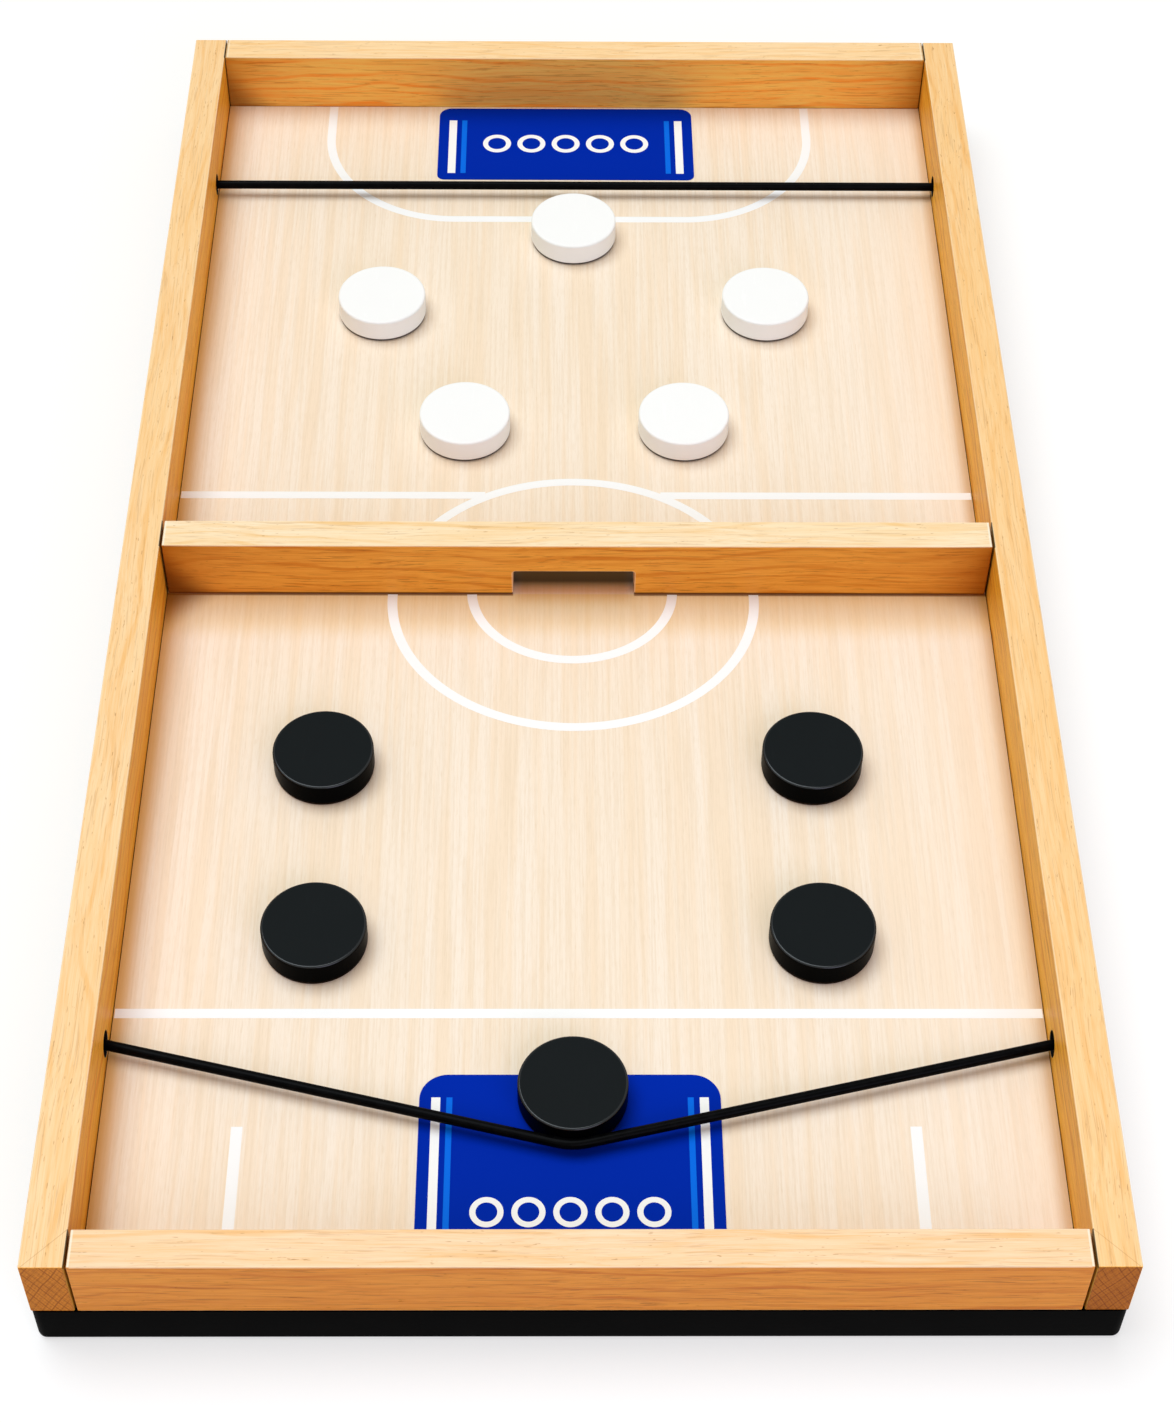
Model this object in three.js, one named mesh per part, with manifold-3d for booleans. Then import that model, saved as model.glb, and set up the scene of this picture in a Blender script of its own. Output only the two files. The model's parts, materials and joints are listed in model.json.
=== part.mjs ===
// A sling puck board game: a shallow wooden tray on a black base, a divider with a gate in the middle,
// an elastic sling near each end, a printed label behind each sling, and five pucks for each player.
// Millimetres. X runs across the tray, Y from the front player's end to the back, Z up.
// The origin is the middle of the base's underside. The front sling is drawn back with a puck in it.

import * as THREE from "three";
import { mergeVertices } from "three/addons/utils/BufferGeometryUtils.js";
import Module from "manifold-3d";

// Tray
const trayLength = 560;
const trayWidth = 310;
const railHeight = 25;
const sideRailWidth = 12.5;
const endRailWidth = 12;
const dividerWidth = 12;
const railEdgeRadius = 0.6;
const openSeam = 0.7; // at each end of the front rail and of the divider
const closeSeam = 0.3; // at each end of the back rail

// Base and playing board
const baseThickness = 16.2;
const baseOverhang = 0.3;
const baseCornerRadius = 3;
const baseEdgeRadius = 1.6;
const boardThickness = 1;
const boardClearance = 0.3;

// Pucks
const puckDiameter = 33;
const puckHeight = 9;
const puckEdgeRadius = 1.3;
const puckFloat = 0.25; // the air film between a puck and the board, more than a label's thickness
const blackPuckShift = -3.3; // how far each player's loose pucks stand from a mirrored layout
const whitePuckShift = -0.8;

// Gate in the divider
const gatePlay = 9; // width left over beside a puck
const gateHeadroom = 2.15;
const gateCornerRadius = 1;
const gateShift = -1.3; // the gate is a little to the left of the tray's middle

// Slings
const cordDiameter = 3.3;
const frontSlingInset = 73.5; // from the front rail's inner face to the cord
const backSlingInset = 57;
const slingDraw = 34.8;
const slingPuckShift = -2.1; // where the drawn sling is held, from the tray's middle
const cordPuckClearance = 0.3;
const cordJoint = 0.3; // gap between two stretches of one cord
const backBightLength = 6.6;

// Stepped holes through the side rails: a mouth inside, a throat, and a pocket outside for a stopper
const mouthDiameter = 8.5;
const mouthDepth = 5;
const throatClearance = 0.3;
const pocketDiameter = 10;
const pocketDepth = 5;
const stopperDiameter = 8;
const stopperLength = 4.2;
const stopperEasing = 0.8;
const cordEntryDepth = 1.5; // where the drawn cord crosses the hole's axis, from the rail's inner face
const cordReach = 6.5; // how far into the hole a straight cord's moving stretch goes

// Dowels in the butt joints
const dowelDiameter = 6;
const dowelDepth = 14; // into the end rail or the divider
const dowelSkin = 4.5; // wood left outside the dowel in the side rail
const dowelFit = 0.15;

// Screws that hold the rails and the divider to the base
const screwShankDiameter = 3.5;
const screwHeadDiameter = 7;
const screwHeadHeight = 2.6;
const screwTipLength = 3;
const screwRecess = 0.4;
const screwTopCover = 9.5; // wood left over the screw's tip
const screwFit = 0.15;
const screwSlotWidth = 1;
const screwSlotLength = 3.6;
const screwSlotDepth = 1.4;

// Labels
const labelThickness = 0.2;
const labelWallGap = 1.5;
const frontLabelWidth = 90;
const frontLabelLength = 64;
const frontLabelCornerRadius = 8.5;
const backLabelWidth = 103.5;
const backLabelLength = 46;
const backLabelCornerRadius = 4;
const frontLabelShift = -2.9; // both labels sit a little to the left
const backLabelShift = -3.8;

// How finely round shapes are cut, and how far cutting shapes reach past the piece they cut
const puckSegments = 32;
const boreSegments = 20;
const pinSegments = 12;
const cordSegments = 8;
const arcSegments = 3;
const rimSegments = 2;
const overrun = 1;
const weldDistance = 1e-4;

// Heights and lines that several pieces share
const boardTop = baseThickness + boardThickness;
const railTop = baseThickness + railHeight;
const innerHalfWidth = trayWidth / 2 - sideRailWidth;
const innerHalfLength = trayLength / 2 - endRailWidth;
const sideRailCentre = innerHalfWidth + sideRailWidth / 2;
const endRailCentre = innerHalfLength + endRailWidth / 2;
const puckRadius = puckDiameter / 2;
const puckMiddle = boardTop + puckFloat + puckHeight / 2;
const cordRadius = cordDiameter / 2;
const frontSlingY = frontSlingInset - innerHalfLength;
const backSlingY = innerHalfLength - backSlingInset;
const jointHeight = baseThickness + railHeight / 2;
const screwTip = railTop - screwTopCover;

const wasm = await Module();
wasm.setup();

const colours = {
  pine: { color: 0xe8b878, roughness: 0.5, metalness: 0 },
  board: { color: 0xf3dcc0, roughness: 0.45, metalness: 0 },
  blackPaint: { color: 0x141517, roughness: 0.4, metalness: 0 },
  blackPuck: { color: 0x1b1d20, roughness: 0.3, metalness: 0 },
  whitePuck: { color: 0xf2f2f0, roughness: 0.45, metalness: 0 },
  elastic: { color: 0x0c0c0e, roughness: 0.35, metalness: 0 },
  label: { color: 0x0a2fa8, roughness: 0.3, metalness: 0 },
  steel: { color: 0xb9bcc0, roughness: 0.35, metalness: 1 },
  beech: { color: 0xd9b487, roughness: 0.6, metalness: 0 },
};

const game = new THREE.Group();

// Adds a named piece made of a three.js geometry or of a solid.
function addPiece(name, shape, colour) {
  const geometry = shape.isBufferGeometry ? shape : geometryOf(shape);
  const mesh = new THREE.Mesh(geometry, new THREE.MeshStandardMaterial(colours[colour]));
  mesh.name = name;
  game.add(mesh);
  return mesh;
}

// A closed three.js geometry as a solid that can be cut and joined.
function solidOf(geometry) {
  const bare = geometry.clone();
  bare.deleteAttribute("normal");
  bare.deleteAttribute("uv");
  const welded = mergeVertices(bare, weldDistance);
  return new wasm.Manifold(
    new wasm.Mesh({
      numProp: 3,
      vertProperties: welded.attributes.position.array,
      triVerts: new Uint32Array(welded.index.array),
    }),
  );
}

function geometryOf(solid) {
  const { vertProperties, triVerts } = solid.getMesh();
  const geometry = new THREE.BufferGeometry();
  geometry.setAttribute("position", new THREE.BufferAttribute(vertProperties, 3));
  geometry.setIndex(new THREE.BufferAttribute(triVerts, 1));
  geometry.computeVertexNormals();
  return geometry;
}

// The piece without each of the cutting geometries.
function cut(geometry, cutters) {
  return cutters.reduce((left, cutter) => left.subtract(solidOf(cutter)), solidOf(geometry));
}

// A rectangle with round corners, centred on the origin.
function roundedRectangle(width, height, radius) {
  const right = width / 2;
  const top = height / 2;
  const shape = new THREE.Shape();
  shape.absarc(right - radius, top - radius, radius, 0, Math.PI / 2);
  shape.absarc(radius - right, top - radius, radius, Math.PI / 2, Math.PI);
  shape.absarc(radius - right, radius - top, radius, Math.PI, Math.PI * 1.5);
  shape.absarc(right - radius, radius - top, radius, Math.PI * 1.5, Math.PI * 2);
  return shape;
}

function rectangle(width, height) {
  const right = width / 2;
  const top = height / 2;
  const corners = [
    [-right, -top],
    [right, -top],
    [right, top],
    [-right, top],
  ];
  return new THREE.Shape(corners.map(([x, y]) => new THREE.Vector2(x, y)));
}

// A plank with its outline in the XY plane, its thickness centred on Z and the rims of both faces eased.
function plank(outline, thickness, easing, steps) {
  const geometry = new THREE.ExtrudeGeometry(outline, {
    depth: thickness - easing * 2,
    bevelThickness: easing,
    bevelSize: easing,
    bevelOffset: -easing,
    bevelSegments: steps,
    curveSegments: arcSegments,
  });
  return geometry.translate(0, 0, easing - thickness / 2);
}

// A turned shape about Z from [radius, height] points that start and end on the axis.
function turned(points, segments) {
  const profile = points.map(([radius, height]) => new THREE.Vector2(radius, height));
  return new THREE.LatheGeometry(profile, segments).rotateX(Math.PI / 2);
}

// A cylinder along Z between two heights.
function rod(radius, low, high, segments) {
  const corners = [
    [0, low],
    [radius, low],
    [radius, high],
    [0, high],
  ];
  return turned(corners, segments);
}

// Turns a shape made along +Z so that it runs along +X or -X.
function layAlongX(geometry, side) {
  return geometry.rotateY((side * Math.PI) / 2);
}

const sides = [
  { name: "left", side: -1 },
  { name: "right", side: 1 },
];

const slings = [
  { name: "front", y: frontSlingY },
  { name: "back", y: backSlingY },
];

// Screw places: the shares run along the rail from its middle to its end.
const sideScrewShares = [-0.87, -0.29, 0.29, 0.87];
const endScrewShares = [-0.5, 0.5];
const dividerScrewShares = [-0.64, 0.64];

function screwPlaces() {
  const places = [];
  for (const { side } of sides)
    for (const share of sideScrewShares)
      places.push({ x: side * sideRailCentre, y: (share * trayLength) / 2 });
  for (const end of [-1, 1])
    for (const share of endScrewShares)
      places.push({ x: share * innerHalfWidth, y: end * endRailCentre });
  for (const share of dividerScrewShares) places.push({ x: share * innerHalfWidth, y: 0 });
  return places;
}

const screws = screwPlaces();

// Butt joints between the side rails and what stands between them.
const joints = [
  { name: "front", y: -endRailCentre, seam: openSeam },
  { name: "divider", y: 0, seam: openSeam },
  { name: "back", y: endRailCentre, seam: closeSeam },
];

const dowelEnd = innerHalfWidth + sideRailWidth - dowelSkin;

function dowelStart(joint) {
  return innerHalfWidth - joint.seam - dowelDepth;
}

// A screw's outline, grown by a clearance: a flat countersunk head, a shank and a point.
function screwProfile(grow) {
  const head = screwHeadDiameter / 2 + grow;
  const shank = screwShankDiameter / 2 + grow;
  const neck = screwRecess + screwHeadHeight + grow;
  const start = grow ? -overrun : screwRecess;
  return [
    [0, start],
    [head, start],
    [head, screwRecess + grow],
    [shank, neck],
    [shank, screwTip - screwTipLength],
    [0, screwTip + grow],
  ];
}

function screwHoles(places) {
  return places.map(({ x, y }) => turned(screwProfile(screwFit), pinSegments).translate(x, y, 0));
}

// Holes for the dowels of one joint, through its open seam.
function dowelHoles(joint) {
  return sides.map(({ side }) =>
    layAlongX(
      rod(dowelDiameter / 2 + dowelFit, dowelStart(joint) - dowelFit, dowelEnd + dowelFit, pinSegments),
      side,
    ).translate(0, joint.y, jointHeight),
  );
}

function makeBase() {
  const outline = roundedRectangle(
    trayWidth + baseOverhang * 2,
    trayLength + baseOverhang * 2,
    baseCornerRadius,
  );
  // Made too thick by its eased upper rim, which is then cut off to leave a sharp edge under the rails.
  const tall = baseThickness + baseEdgeRadius + overrun;
  const blank = plank(outline, tall, baseEdgeRadius, arcSegments).translate(0, 0, tall / 2);
  const above = new THREE.BoxGeometry(trayWidth * 2, trayLength * 2, tall).translate(
    0,
    0,
    baseThickness + tall / 2,
  );
  addPiece("base_board", cut(blank, [above, ...screwHoles(screws)]), "blackPaint");
}

function makeBoard() {
  const outline = rectangle(
    (innerHalfWidth - boardClearance) * 2,
    (innerHalfLength - boardClearance) * 2,
  );
  const blank = new THREE.ExtrudeGeometry(outline, { depth: boardThickness, bevelEnabled: false });
  blank.translate(0, 0, baseThickness);
  addPiece("playing_board", cut(blank, screwHoles(screws.filter(({ y }) => y === 0))), "board");
}

// The stepped hole that a cord goes through.
function cordHole(side, y) {
  const outer = innerHalfWidth + sideRailWidth;
  const throat = cordRadius + throatClearance;
  const profile = [
    [0, innerHalfWidth - overrun],
    [mouthDiameter / 2, innerHalfWidth - overrun],
    [mouthDiameter / 2, innerHalfWidth + mouthDepth],
    [throat, innerHalfWidth + mouthDepth],
    [throat, outer - pocketDepth],
    [pocketDiameter / 2, outer - pocketDepth],
    [pocketDiameter / 2, outer + overrun],
    [0, outer + overrun],
  ];
  return layAlongX(turned(profile, boreSegments), side).translate(0, y, puckMiddle);
}

function makeSideRails() {
  for (const { name, side } of sides) {
    const blank = plank(rectangle(railHeight, trayLength), sideRailWidth, railEdgeRadius, rimSegments);
    blank.rotateY(Math.PI / 2).translate(side * sideRailCentre, 0, jointHeight);
    const cutters = [
      ...slings.map(({ y }) => cordHole(side, y)),
      ...joints.flatMap(dowelHoles),
      ...screwHoles(screws.filter(({ x }) => x === side * sideRailCentre)),
    ];
    addPiece(name + "_rail", cut(blank, cutters), "pine");
  }
}

function makeEndRails() {
  for (const joint of joints.filter(({ y }) => y !== 0)) {
    const outline = rectangle((innerHalfWidth - joint.seam) * 2, railHeight);
    const blank = plank(outline, endRailWidth, railEdgeRadius, rimSegments);
    blank.rotateX(Math.PI / 2).translate(0, joint.y, jointHeight);
    const cutters = [...dowelHoles(joint), ...screwHoles(screws.filter(({ y }) => y === joint.y))];
    addPiece(joint.name + "_rail", cut(blank, cutters), "pine");
  }
}

// The divider's outline, seen along the tray, with the gate cut up from its lower edge.
function dividerOutline() {
  const end = innerHalfWidth - openSeam;
  const leftPost = gateShift - (puckDiameter + gatePlay) / 2;
  const rightPost = gateShift + (puckDiameter + gatePlay) / 2;
  const cornerY = puckHeight + puckFloat + gateHeadroom - gateCornerRadius;
  const height = railTop - boardTop;
  const shape = new THREE.Shape();
  shape.moveTo(-end, 0);
  shape.lineTo(leftPost, 0);
  shape.absarc(leftPost + gateCornerRadius, cornerY, gateCornerRadius, Math.PI, Math.PI / 2, true);
  shape.absarc(rightPost - gateCornerRadius, cornerY, gateCornerRadius, Math.PI / 2, 0, true);
  shape.lineTo(rightPost, 0);
  shape.lineTo(end, 0);
  shape.lineTo(end, height);
  shape.lineTo(-end, height);
  return shape;
}

function makeDivider() {
  const blank = plank(dividerOutline(), dividerWidth, railEdgeRadius, rimSegments);
  blank.rotateX(Math.PI / 2).translate(0, 0, boardTop);
  const own = joints.find((joint) => joint.name === "divider");
  const cutters = [...dowelHoles(own), ...screwHoles(screws.filter(({ y }) => y === 0))];
  addPiece("centre_divider", cut(blank, cutters), "pine");
}

function makeDowels() {
  for (const joint of joints)
    for (const { name, side } of sides) {
      const dowel = rod(dowelDiameter / 2, dowelStart(joint), dowelEnd, pinSegments);
      layAlongX(dowel, side).translate(0, joint.y, jointHeight);
      addPiece("dowel_" + joint.name + "_" + name, dowel, "beech");
    }
}

// Screws with a cross slot in the head, driven from below.
function makeScrews() {
  const slotHeight = screwSlotDepth + screwRecess + overrun;
  const slotMiddle = screwRecess + screwSlotDepth - slotHeight / 2;
  screws.forEach(({ x, y }, i) => {
    const along = new THREE.BoxGeometry(screwSlotLength, screwSlotWidth, slotHeight);
    const across = new THREE.BoxGeometry(screwSlotWidth, screwSlotLength, slotHeight);
    const slots = [along, across].map((slot) => slot.translate(0, 0, slotMiddle));
    const shape = cut(turned(screwProfile(0), pinSegments), slots);
    addPiece("base_screw_" + (i + 1), shape, "steel").position.set(x, y, 0);
  });
}

// The fixed end of each cord: a short stretch in the throat and a stopper seated in the pocket.
function makeCordEnds() {
  const start = innerHalfWidth + cordReach + cordJoint;
  const seat = innerHalfWidth + sideRailWidth - pocketDepth;
  const finish = seat + stopperLength;
  const radius = stopperDiameter / 2;
  const profile = [
    [0, start],
    [cordRadius, start],
    [cordRadius, seat],
    [radius, seat],
    [radius, finish - stopperEasing],
    [radius - stopperEasing, finish],
    [0, finish],
  ];
  for (const sling of slings)
    for (const { name, side } of sides) {
      const end = layAlongX(turned(profile, pinSegments), side).translate(0, sling.y, puckMiddle);
      addPiece("cord_end_" + sling.name + "_" + name, end, "elastic");
    }
}

const wrapRadius = puckRadius + cordPuckClearance + cordRadius;
const slingPuckY = frontSlingY - slingDraw + wrapRadius;

// How far the drawn cord turns on one side. It leaves the puck along a tangent that crosses the hole's
// axis just inside the rail.
function drawnSwing(side) {
  const across = innerHalfWidth + cordEntryDepth - side * slingPuckShift;
  const along = frontSlingY - slingPuckY;
  return Math.asin(wrapRadius / Math.hypot(across, along)) + Math.atan2(along, across);
}

// A straight stretch of cord that turns about its inner end. It starts clear of the bight's end.
function makeRun(name, side, pivotX, pivotY, swing) {
  const start = cordRadius * Math.sin(drawnSwing(side));
  const length = innerHalfWidth + cordReach - side * pivotX;
  const run = layAlongX(rod(cordRadius, start, length, cordSegments), side);
  const mesh = addPiece(name, run, "elastic");
  mesh.position.set(pivotX, pivotY, puckMiddle);
  mesh.rotation.z = side * swing;
}

// A point of the drawn cord's middle line, where it bends round the puck.
function wrapPoint(angle) {
  const x = slingPuckShift + wrapRadius * Math.sin(angle);
  return new THREE.Vector3(x, slingPuckY - wrapRadius * Math.cos(angle), puckMiddle);
}

// The front sling is drawn: two straight stretches and a bight that bends round the puck.
function makeFrontSling() {
  for (const { name, side } of sides) {
    const swing = drawnSwing(side);
    const pivot = wrapPoint(side * swing);
    makeRun("front_cord_" + name, side, pivot.x, pivot.y, swing);
  }
  const points = [];
  for (let i = -arcSegments; i <= arcSegments; i++) {
    const bend = drawnSwing(Math.sign(i)) - cordJoint / wrapRadius;
    points.push(wrapPoint((i / arcSegments) * bend));
  }
  const section = new THREE.Shape().absarc(0, 0, cordRadius, 0, Math.PI * 2);
  const bight = new THREE.ExtrudeGeometry(section, {
    steps: arcSegments * 2,
    curveSegments: cordSegments,
    extrudePath: new THREE.CatmullRomCurve3(points),
  });
  addPiece("front_cord_bight", bight, "elastic");
}

// The back sling is at rest: one straight line from rail to rail.
function makeBackSling() {
  const pivotX = backBightLength / 2;
  for (const { name, side } of sides)
    makeRun("back_cord_" + name, side, side * pivotX, backSlingY, 0);
  const half = pivotX - cordJoint;
  const bight = layAlongX(rod(cordRadius, -half, half, cordSegments), 1);
  bight.translate(0, backSlingY, puckMiddle);
  addPiece("back_cord_bight", bight, "elastic");
}

function makeLabels() {
  const labels = [
    {
      name: "front_label",
      width: frontLabelWidth,
      length: frontLabelLength,
      radius: frontLabelCornerRadius,
      x: frontLabelShift,
      end: -1,
    },
    {
      name: "back_label",
      width: backLabelWidth,
      length: backLabelLength,
      radius: backLabelCornerRadius,
      x: backLabelShift,
      end: 1,
    },
  ];
  for (const { name, width, length, radius, x, end } of labels) {
    const sheet = new THREE.ExtrudeGeometry(roundedRectangle(width, length, radius), {
      depth: labelThickness,
      bevelEnabled: false,
      curveSegments: arcSegments,
    });
    const y = end * (innerHalfLength - labelWallGap - length / 2);
    addPiece(name, sheet.translate(x, y, boardTop), "label");
  }
}

// Puck places, in shares of how far a puck's centre can go: from the middle to a side rail across,
// and from the divider to the straight sling along.
const puckShares = [
  { name: "white_puck_gate_left", acrossShare: -0.3175, alongShare: 0.312 },
  { name: "white_puck_gate_right", acrossShare: 0.3175, alongShare: 0.312 },
  { name: "white_puck_mid_left", acrossShare: -0.579, alongShare: 0.692 },
  { name: "white_puck_mid_right", acrossShare: 0.579, alongShare: 0.692 },
  { name: "white_puck_back", acrossShare: 0, alongShare: 0.952 },
  { name: "black_puck_far_left", acrossShare: -0.635, alongShare: 0.395 },
  { name: "black_puck_far_right", acrossShare: 0.635, alongShare: 0.395 },
  { name: "black_puck_near_left", acrossShare: -0.627, alongShare: 0.8515 },
  { name: "black_puck_near_right", acrossShare: 0.627, alongShare: 0.8515 },
];

// A puck: a disc whose rims are rounded.
function puckGeometry() {
  const half = puckHeight / 2;
  const profile = [[0, -half]];
  for (const end of [-1, 1])
    for (let i = 0; i <= rimSegments; i++) {
      const angle = ((end < 0 ? i : rimSegments - i) / rimSegments) * (Math.PI / 2);
      profile.push([
        puckRadius - puckEdgeRadius * (1 - Math.sin(angle)),
        end * (half - puckEdgeRadius * (1 - Math.cos(angle))),
      ]);
    }
  profile.push([0, half]);
  return turned(profile, puckSegments);
}

function puckPlace({ name, acrossShare, alongShare }) {
  const white = name.startsWith("white");
  const nearest = dividerWidth / 2 + puckRadius;
  const farthest = Math.abs(white ? backSlingY : frontSlingY) - cordRadius - puckRadius;
  const along = nearest + alongShare * (farthest - nearest);
  const shift = white ? whitePuckShift : blackPuckShift;
  return { name, x: shift + acrossShare * (innerHalfWidth - puckRadius), y: white ? along : -along };
}

function makePucks() {
  const held = { name: "black_puck_sling", x: slingPuckShift, y: slingPuckY };
  const places = [...puckShares.map(puckPlace), held];
  for (const { name, x, y } of places) {
    const puck = addPiece(name, puckGeometry(), name.startsWith("white") ? "whitePuck" : "blackPuck");
    puck.position.set(x, y, puckMiddle);
  }
}

makeBase();
makeBoard();
makeSideRails();
makeEndRails();
makeDivider();
makeDowels();
makeScrews();
makeCordEnds();
makeFrontSling();
makeBackSling();
makeLabels();
makePucks();

export default game;
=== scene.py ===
import json
import math

import bpy
from bpy.props import FloatProperty, FloatVectorProperty, PointerProperty
from bpy.types import Operator, Panel, PropertyGroup
from mathutils import Matrix, Vector


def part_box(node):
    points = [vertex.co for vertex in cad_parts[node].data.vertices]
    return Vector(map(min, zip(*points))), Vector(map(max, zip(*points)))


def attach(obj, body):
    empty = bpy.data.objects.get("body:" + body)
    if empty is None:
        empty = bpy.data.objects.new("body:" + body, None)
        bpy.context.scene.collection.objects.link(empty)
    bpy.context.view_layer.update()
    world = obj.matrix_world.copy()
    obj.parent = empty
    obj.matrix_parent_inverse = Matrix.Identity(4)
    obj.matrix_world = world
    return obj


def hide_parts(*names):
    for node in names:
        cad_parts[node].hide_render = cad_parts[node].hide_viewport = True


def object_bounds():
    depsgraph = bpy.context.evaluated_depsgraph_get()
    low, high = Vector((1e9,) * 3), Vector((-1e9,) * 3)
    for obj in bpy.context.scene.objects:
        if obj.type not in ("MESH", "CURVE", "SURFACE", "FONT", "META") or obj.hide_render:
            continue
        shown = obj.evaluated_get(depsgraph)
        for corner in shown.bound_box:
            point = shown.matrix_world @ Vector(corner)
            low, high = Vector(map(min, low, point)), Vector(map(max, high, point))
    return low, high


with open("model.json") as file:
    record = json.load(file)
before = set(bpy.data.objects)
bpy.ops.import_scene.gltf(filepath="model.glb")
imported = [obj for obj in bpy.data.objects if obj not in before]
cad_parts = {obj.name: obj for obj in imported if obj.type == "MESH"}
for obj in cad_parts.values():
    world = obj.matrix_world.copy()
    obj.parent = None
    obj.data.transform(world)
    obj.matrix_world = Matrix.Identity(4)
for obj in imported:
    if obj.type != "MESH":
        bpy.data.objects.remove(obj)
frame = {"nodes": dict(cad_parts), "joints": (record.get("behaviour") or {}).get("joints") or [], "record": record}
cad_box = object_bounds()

bl_info = {
    "name": "Sling puck board game",
    "version": (1, 0, 0),
    "blender": (4, 5, 0),
    "location": "3D View > Sidebar > Puck game",
    "description": "Models and finishes the tray, slings, pucks and prints of a sling puck board game",
    "category": "Object",
}

MM = 0.001
SIDES = {"left": -1, "right": 1}

# Places that many pieces share, read from the frame
BOARD_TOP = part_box("playing_board")[1].z
DIVIDER_LOW, DIVIDER_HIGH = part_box("centre_divider")
INNER_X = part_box("right_rail")[0].x
INNER_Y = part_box("back_rail")[0].y
FLOOR_Z = cad_box[0][2]
CORD_RADIUS = (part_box("back_cord_bight")[1].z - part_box("back_cord_bight")[0].z) / 2

# The gate in the divider
GATE_MIDDLE = -1.3 * MM
GATE_HALF_WIDTH = 21 * MM
GATE_HEIGHT = 11.4 * MM
GATE_CORNER = 1 * MM

# The stepped holes in the side rails
MOUTH_RADIUS = 4.25 * MM
MOUTH_DEPTH = 5 * MM
THROAT_RADIUS = 1.95 * MM
POCKET_RADIUS = 5 * MM
POCKET_DEPTH = 5 * MM

# How far a cutter reaches past what it cuts, and how close two equal places may be
OVERRUN = 1 * MM
TOLERANCE = 0.01 * MM


def centre(node):
    """The middle of a node's box."""
    low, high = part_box(node)
    return (low + high) / 2


def end_x(node, side):
    """Where a node ends along X: on the left for side -1, on the right for side 1."""
    low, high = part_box(node)
    return high.x if side > 0 else low.x


def colour_setting(name, description, default):
    return FloatVectorProperty(
        name=name, description=description, default=default, subtype="COLOR", size=3, min=0, max=1
    )


def length_setting(name, description, default):
    return FloatProperty(name=name, description=description, default=default, unit="LENGTH", min=0)


def angle_setting(name, description, degrees):
    return FloatProperty(
        name=name, description=description, default=math.radians(degrees), unit="ROTATION"
    )


class ViewSettings(PropertyGroup):
    """Where the picture is taken from."""

    place: FloatVectorProperty(
        name="Camera place",
        description="Where the lens is, from the middle of the base's underside",
        default=(-6.84 * MM, -640.57 * MM, 704.56 * MM),
        unit="LENGTH",
    )
    pitch: angle_setting("Pitch", "How far the camera looks down", 49.781)
    yaw: angle_setting("Yaw", "How far the camera turns to the right", 0.976)
    roll: angle_setting("Roll", "How far the camera leans", 0.821)
    focal_share: FloatProperty(
        name="Focal share",
        description="Focal length as a share of the picture's height",
        default=2687.2 / 1423,
    )


class StageSettings(PropertyGroup):
    """The plain studio round the game."""

    floor_colour: colour_setting("Floor", "Colour of the floor", (0.965, 0.965, 0.965))
    floor_glow: FloatProperty(
        name="Floor glow",
        description="Share of plain white in what the camera sees of the floor",
        default=0.52,
        subtype="FACTOR",
    )
    sky_colour: colour_setting("Sky colour", "Colour of the even light", (1.0, 0.88, 0.64))
    sky_strength: FloatProperty(name="Sky", description="Strength of the even light", default=0.40)
    key_colour: colour_setting("Key colour", "Colour of the key light", (0.843, 0.931, 1.0))
    key_strength: FloatProperty(name="Key", description="Strength of the key light from above", default=2.145)
    fill_colour: colour_setting("Fill colour", "Colour of the front fill", (0.715, 0.71, 1.0))
    fill_power: FloatProperty(name="Fill", description="Power of the front fill in watts", default=10.3)


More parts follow.
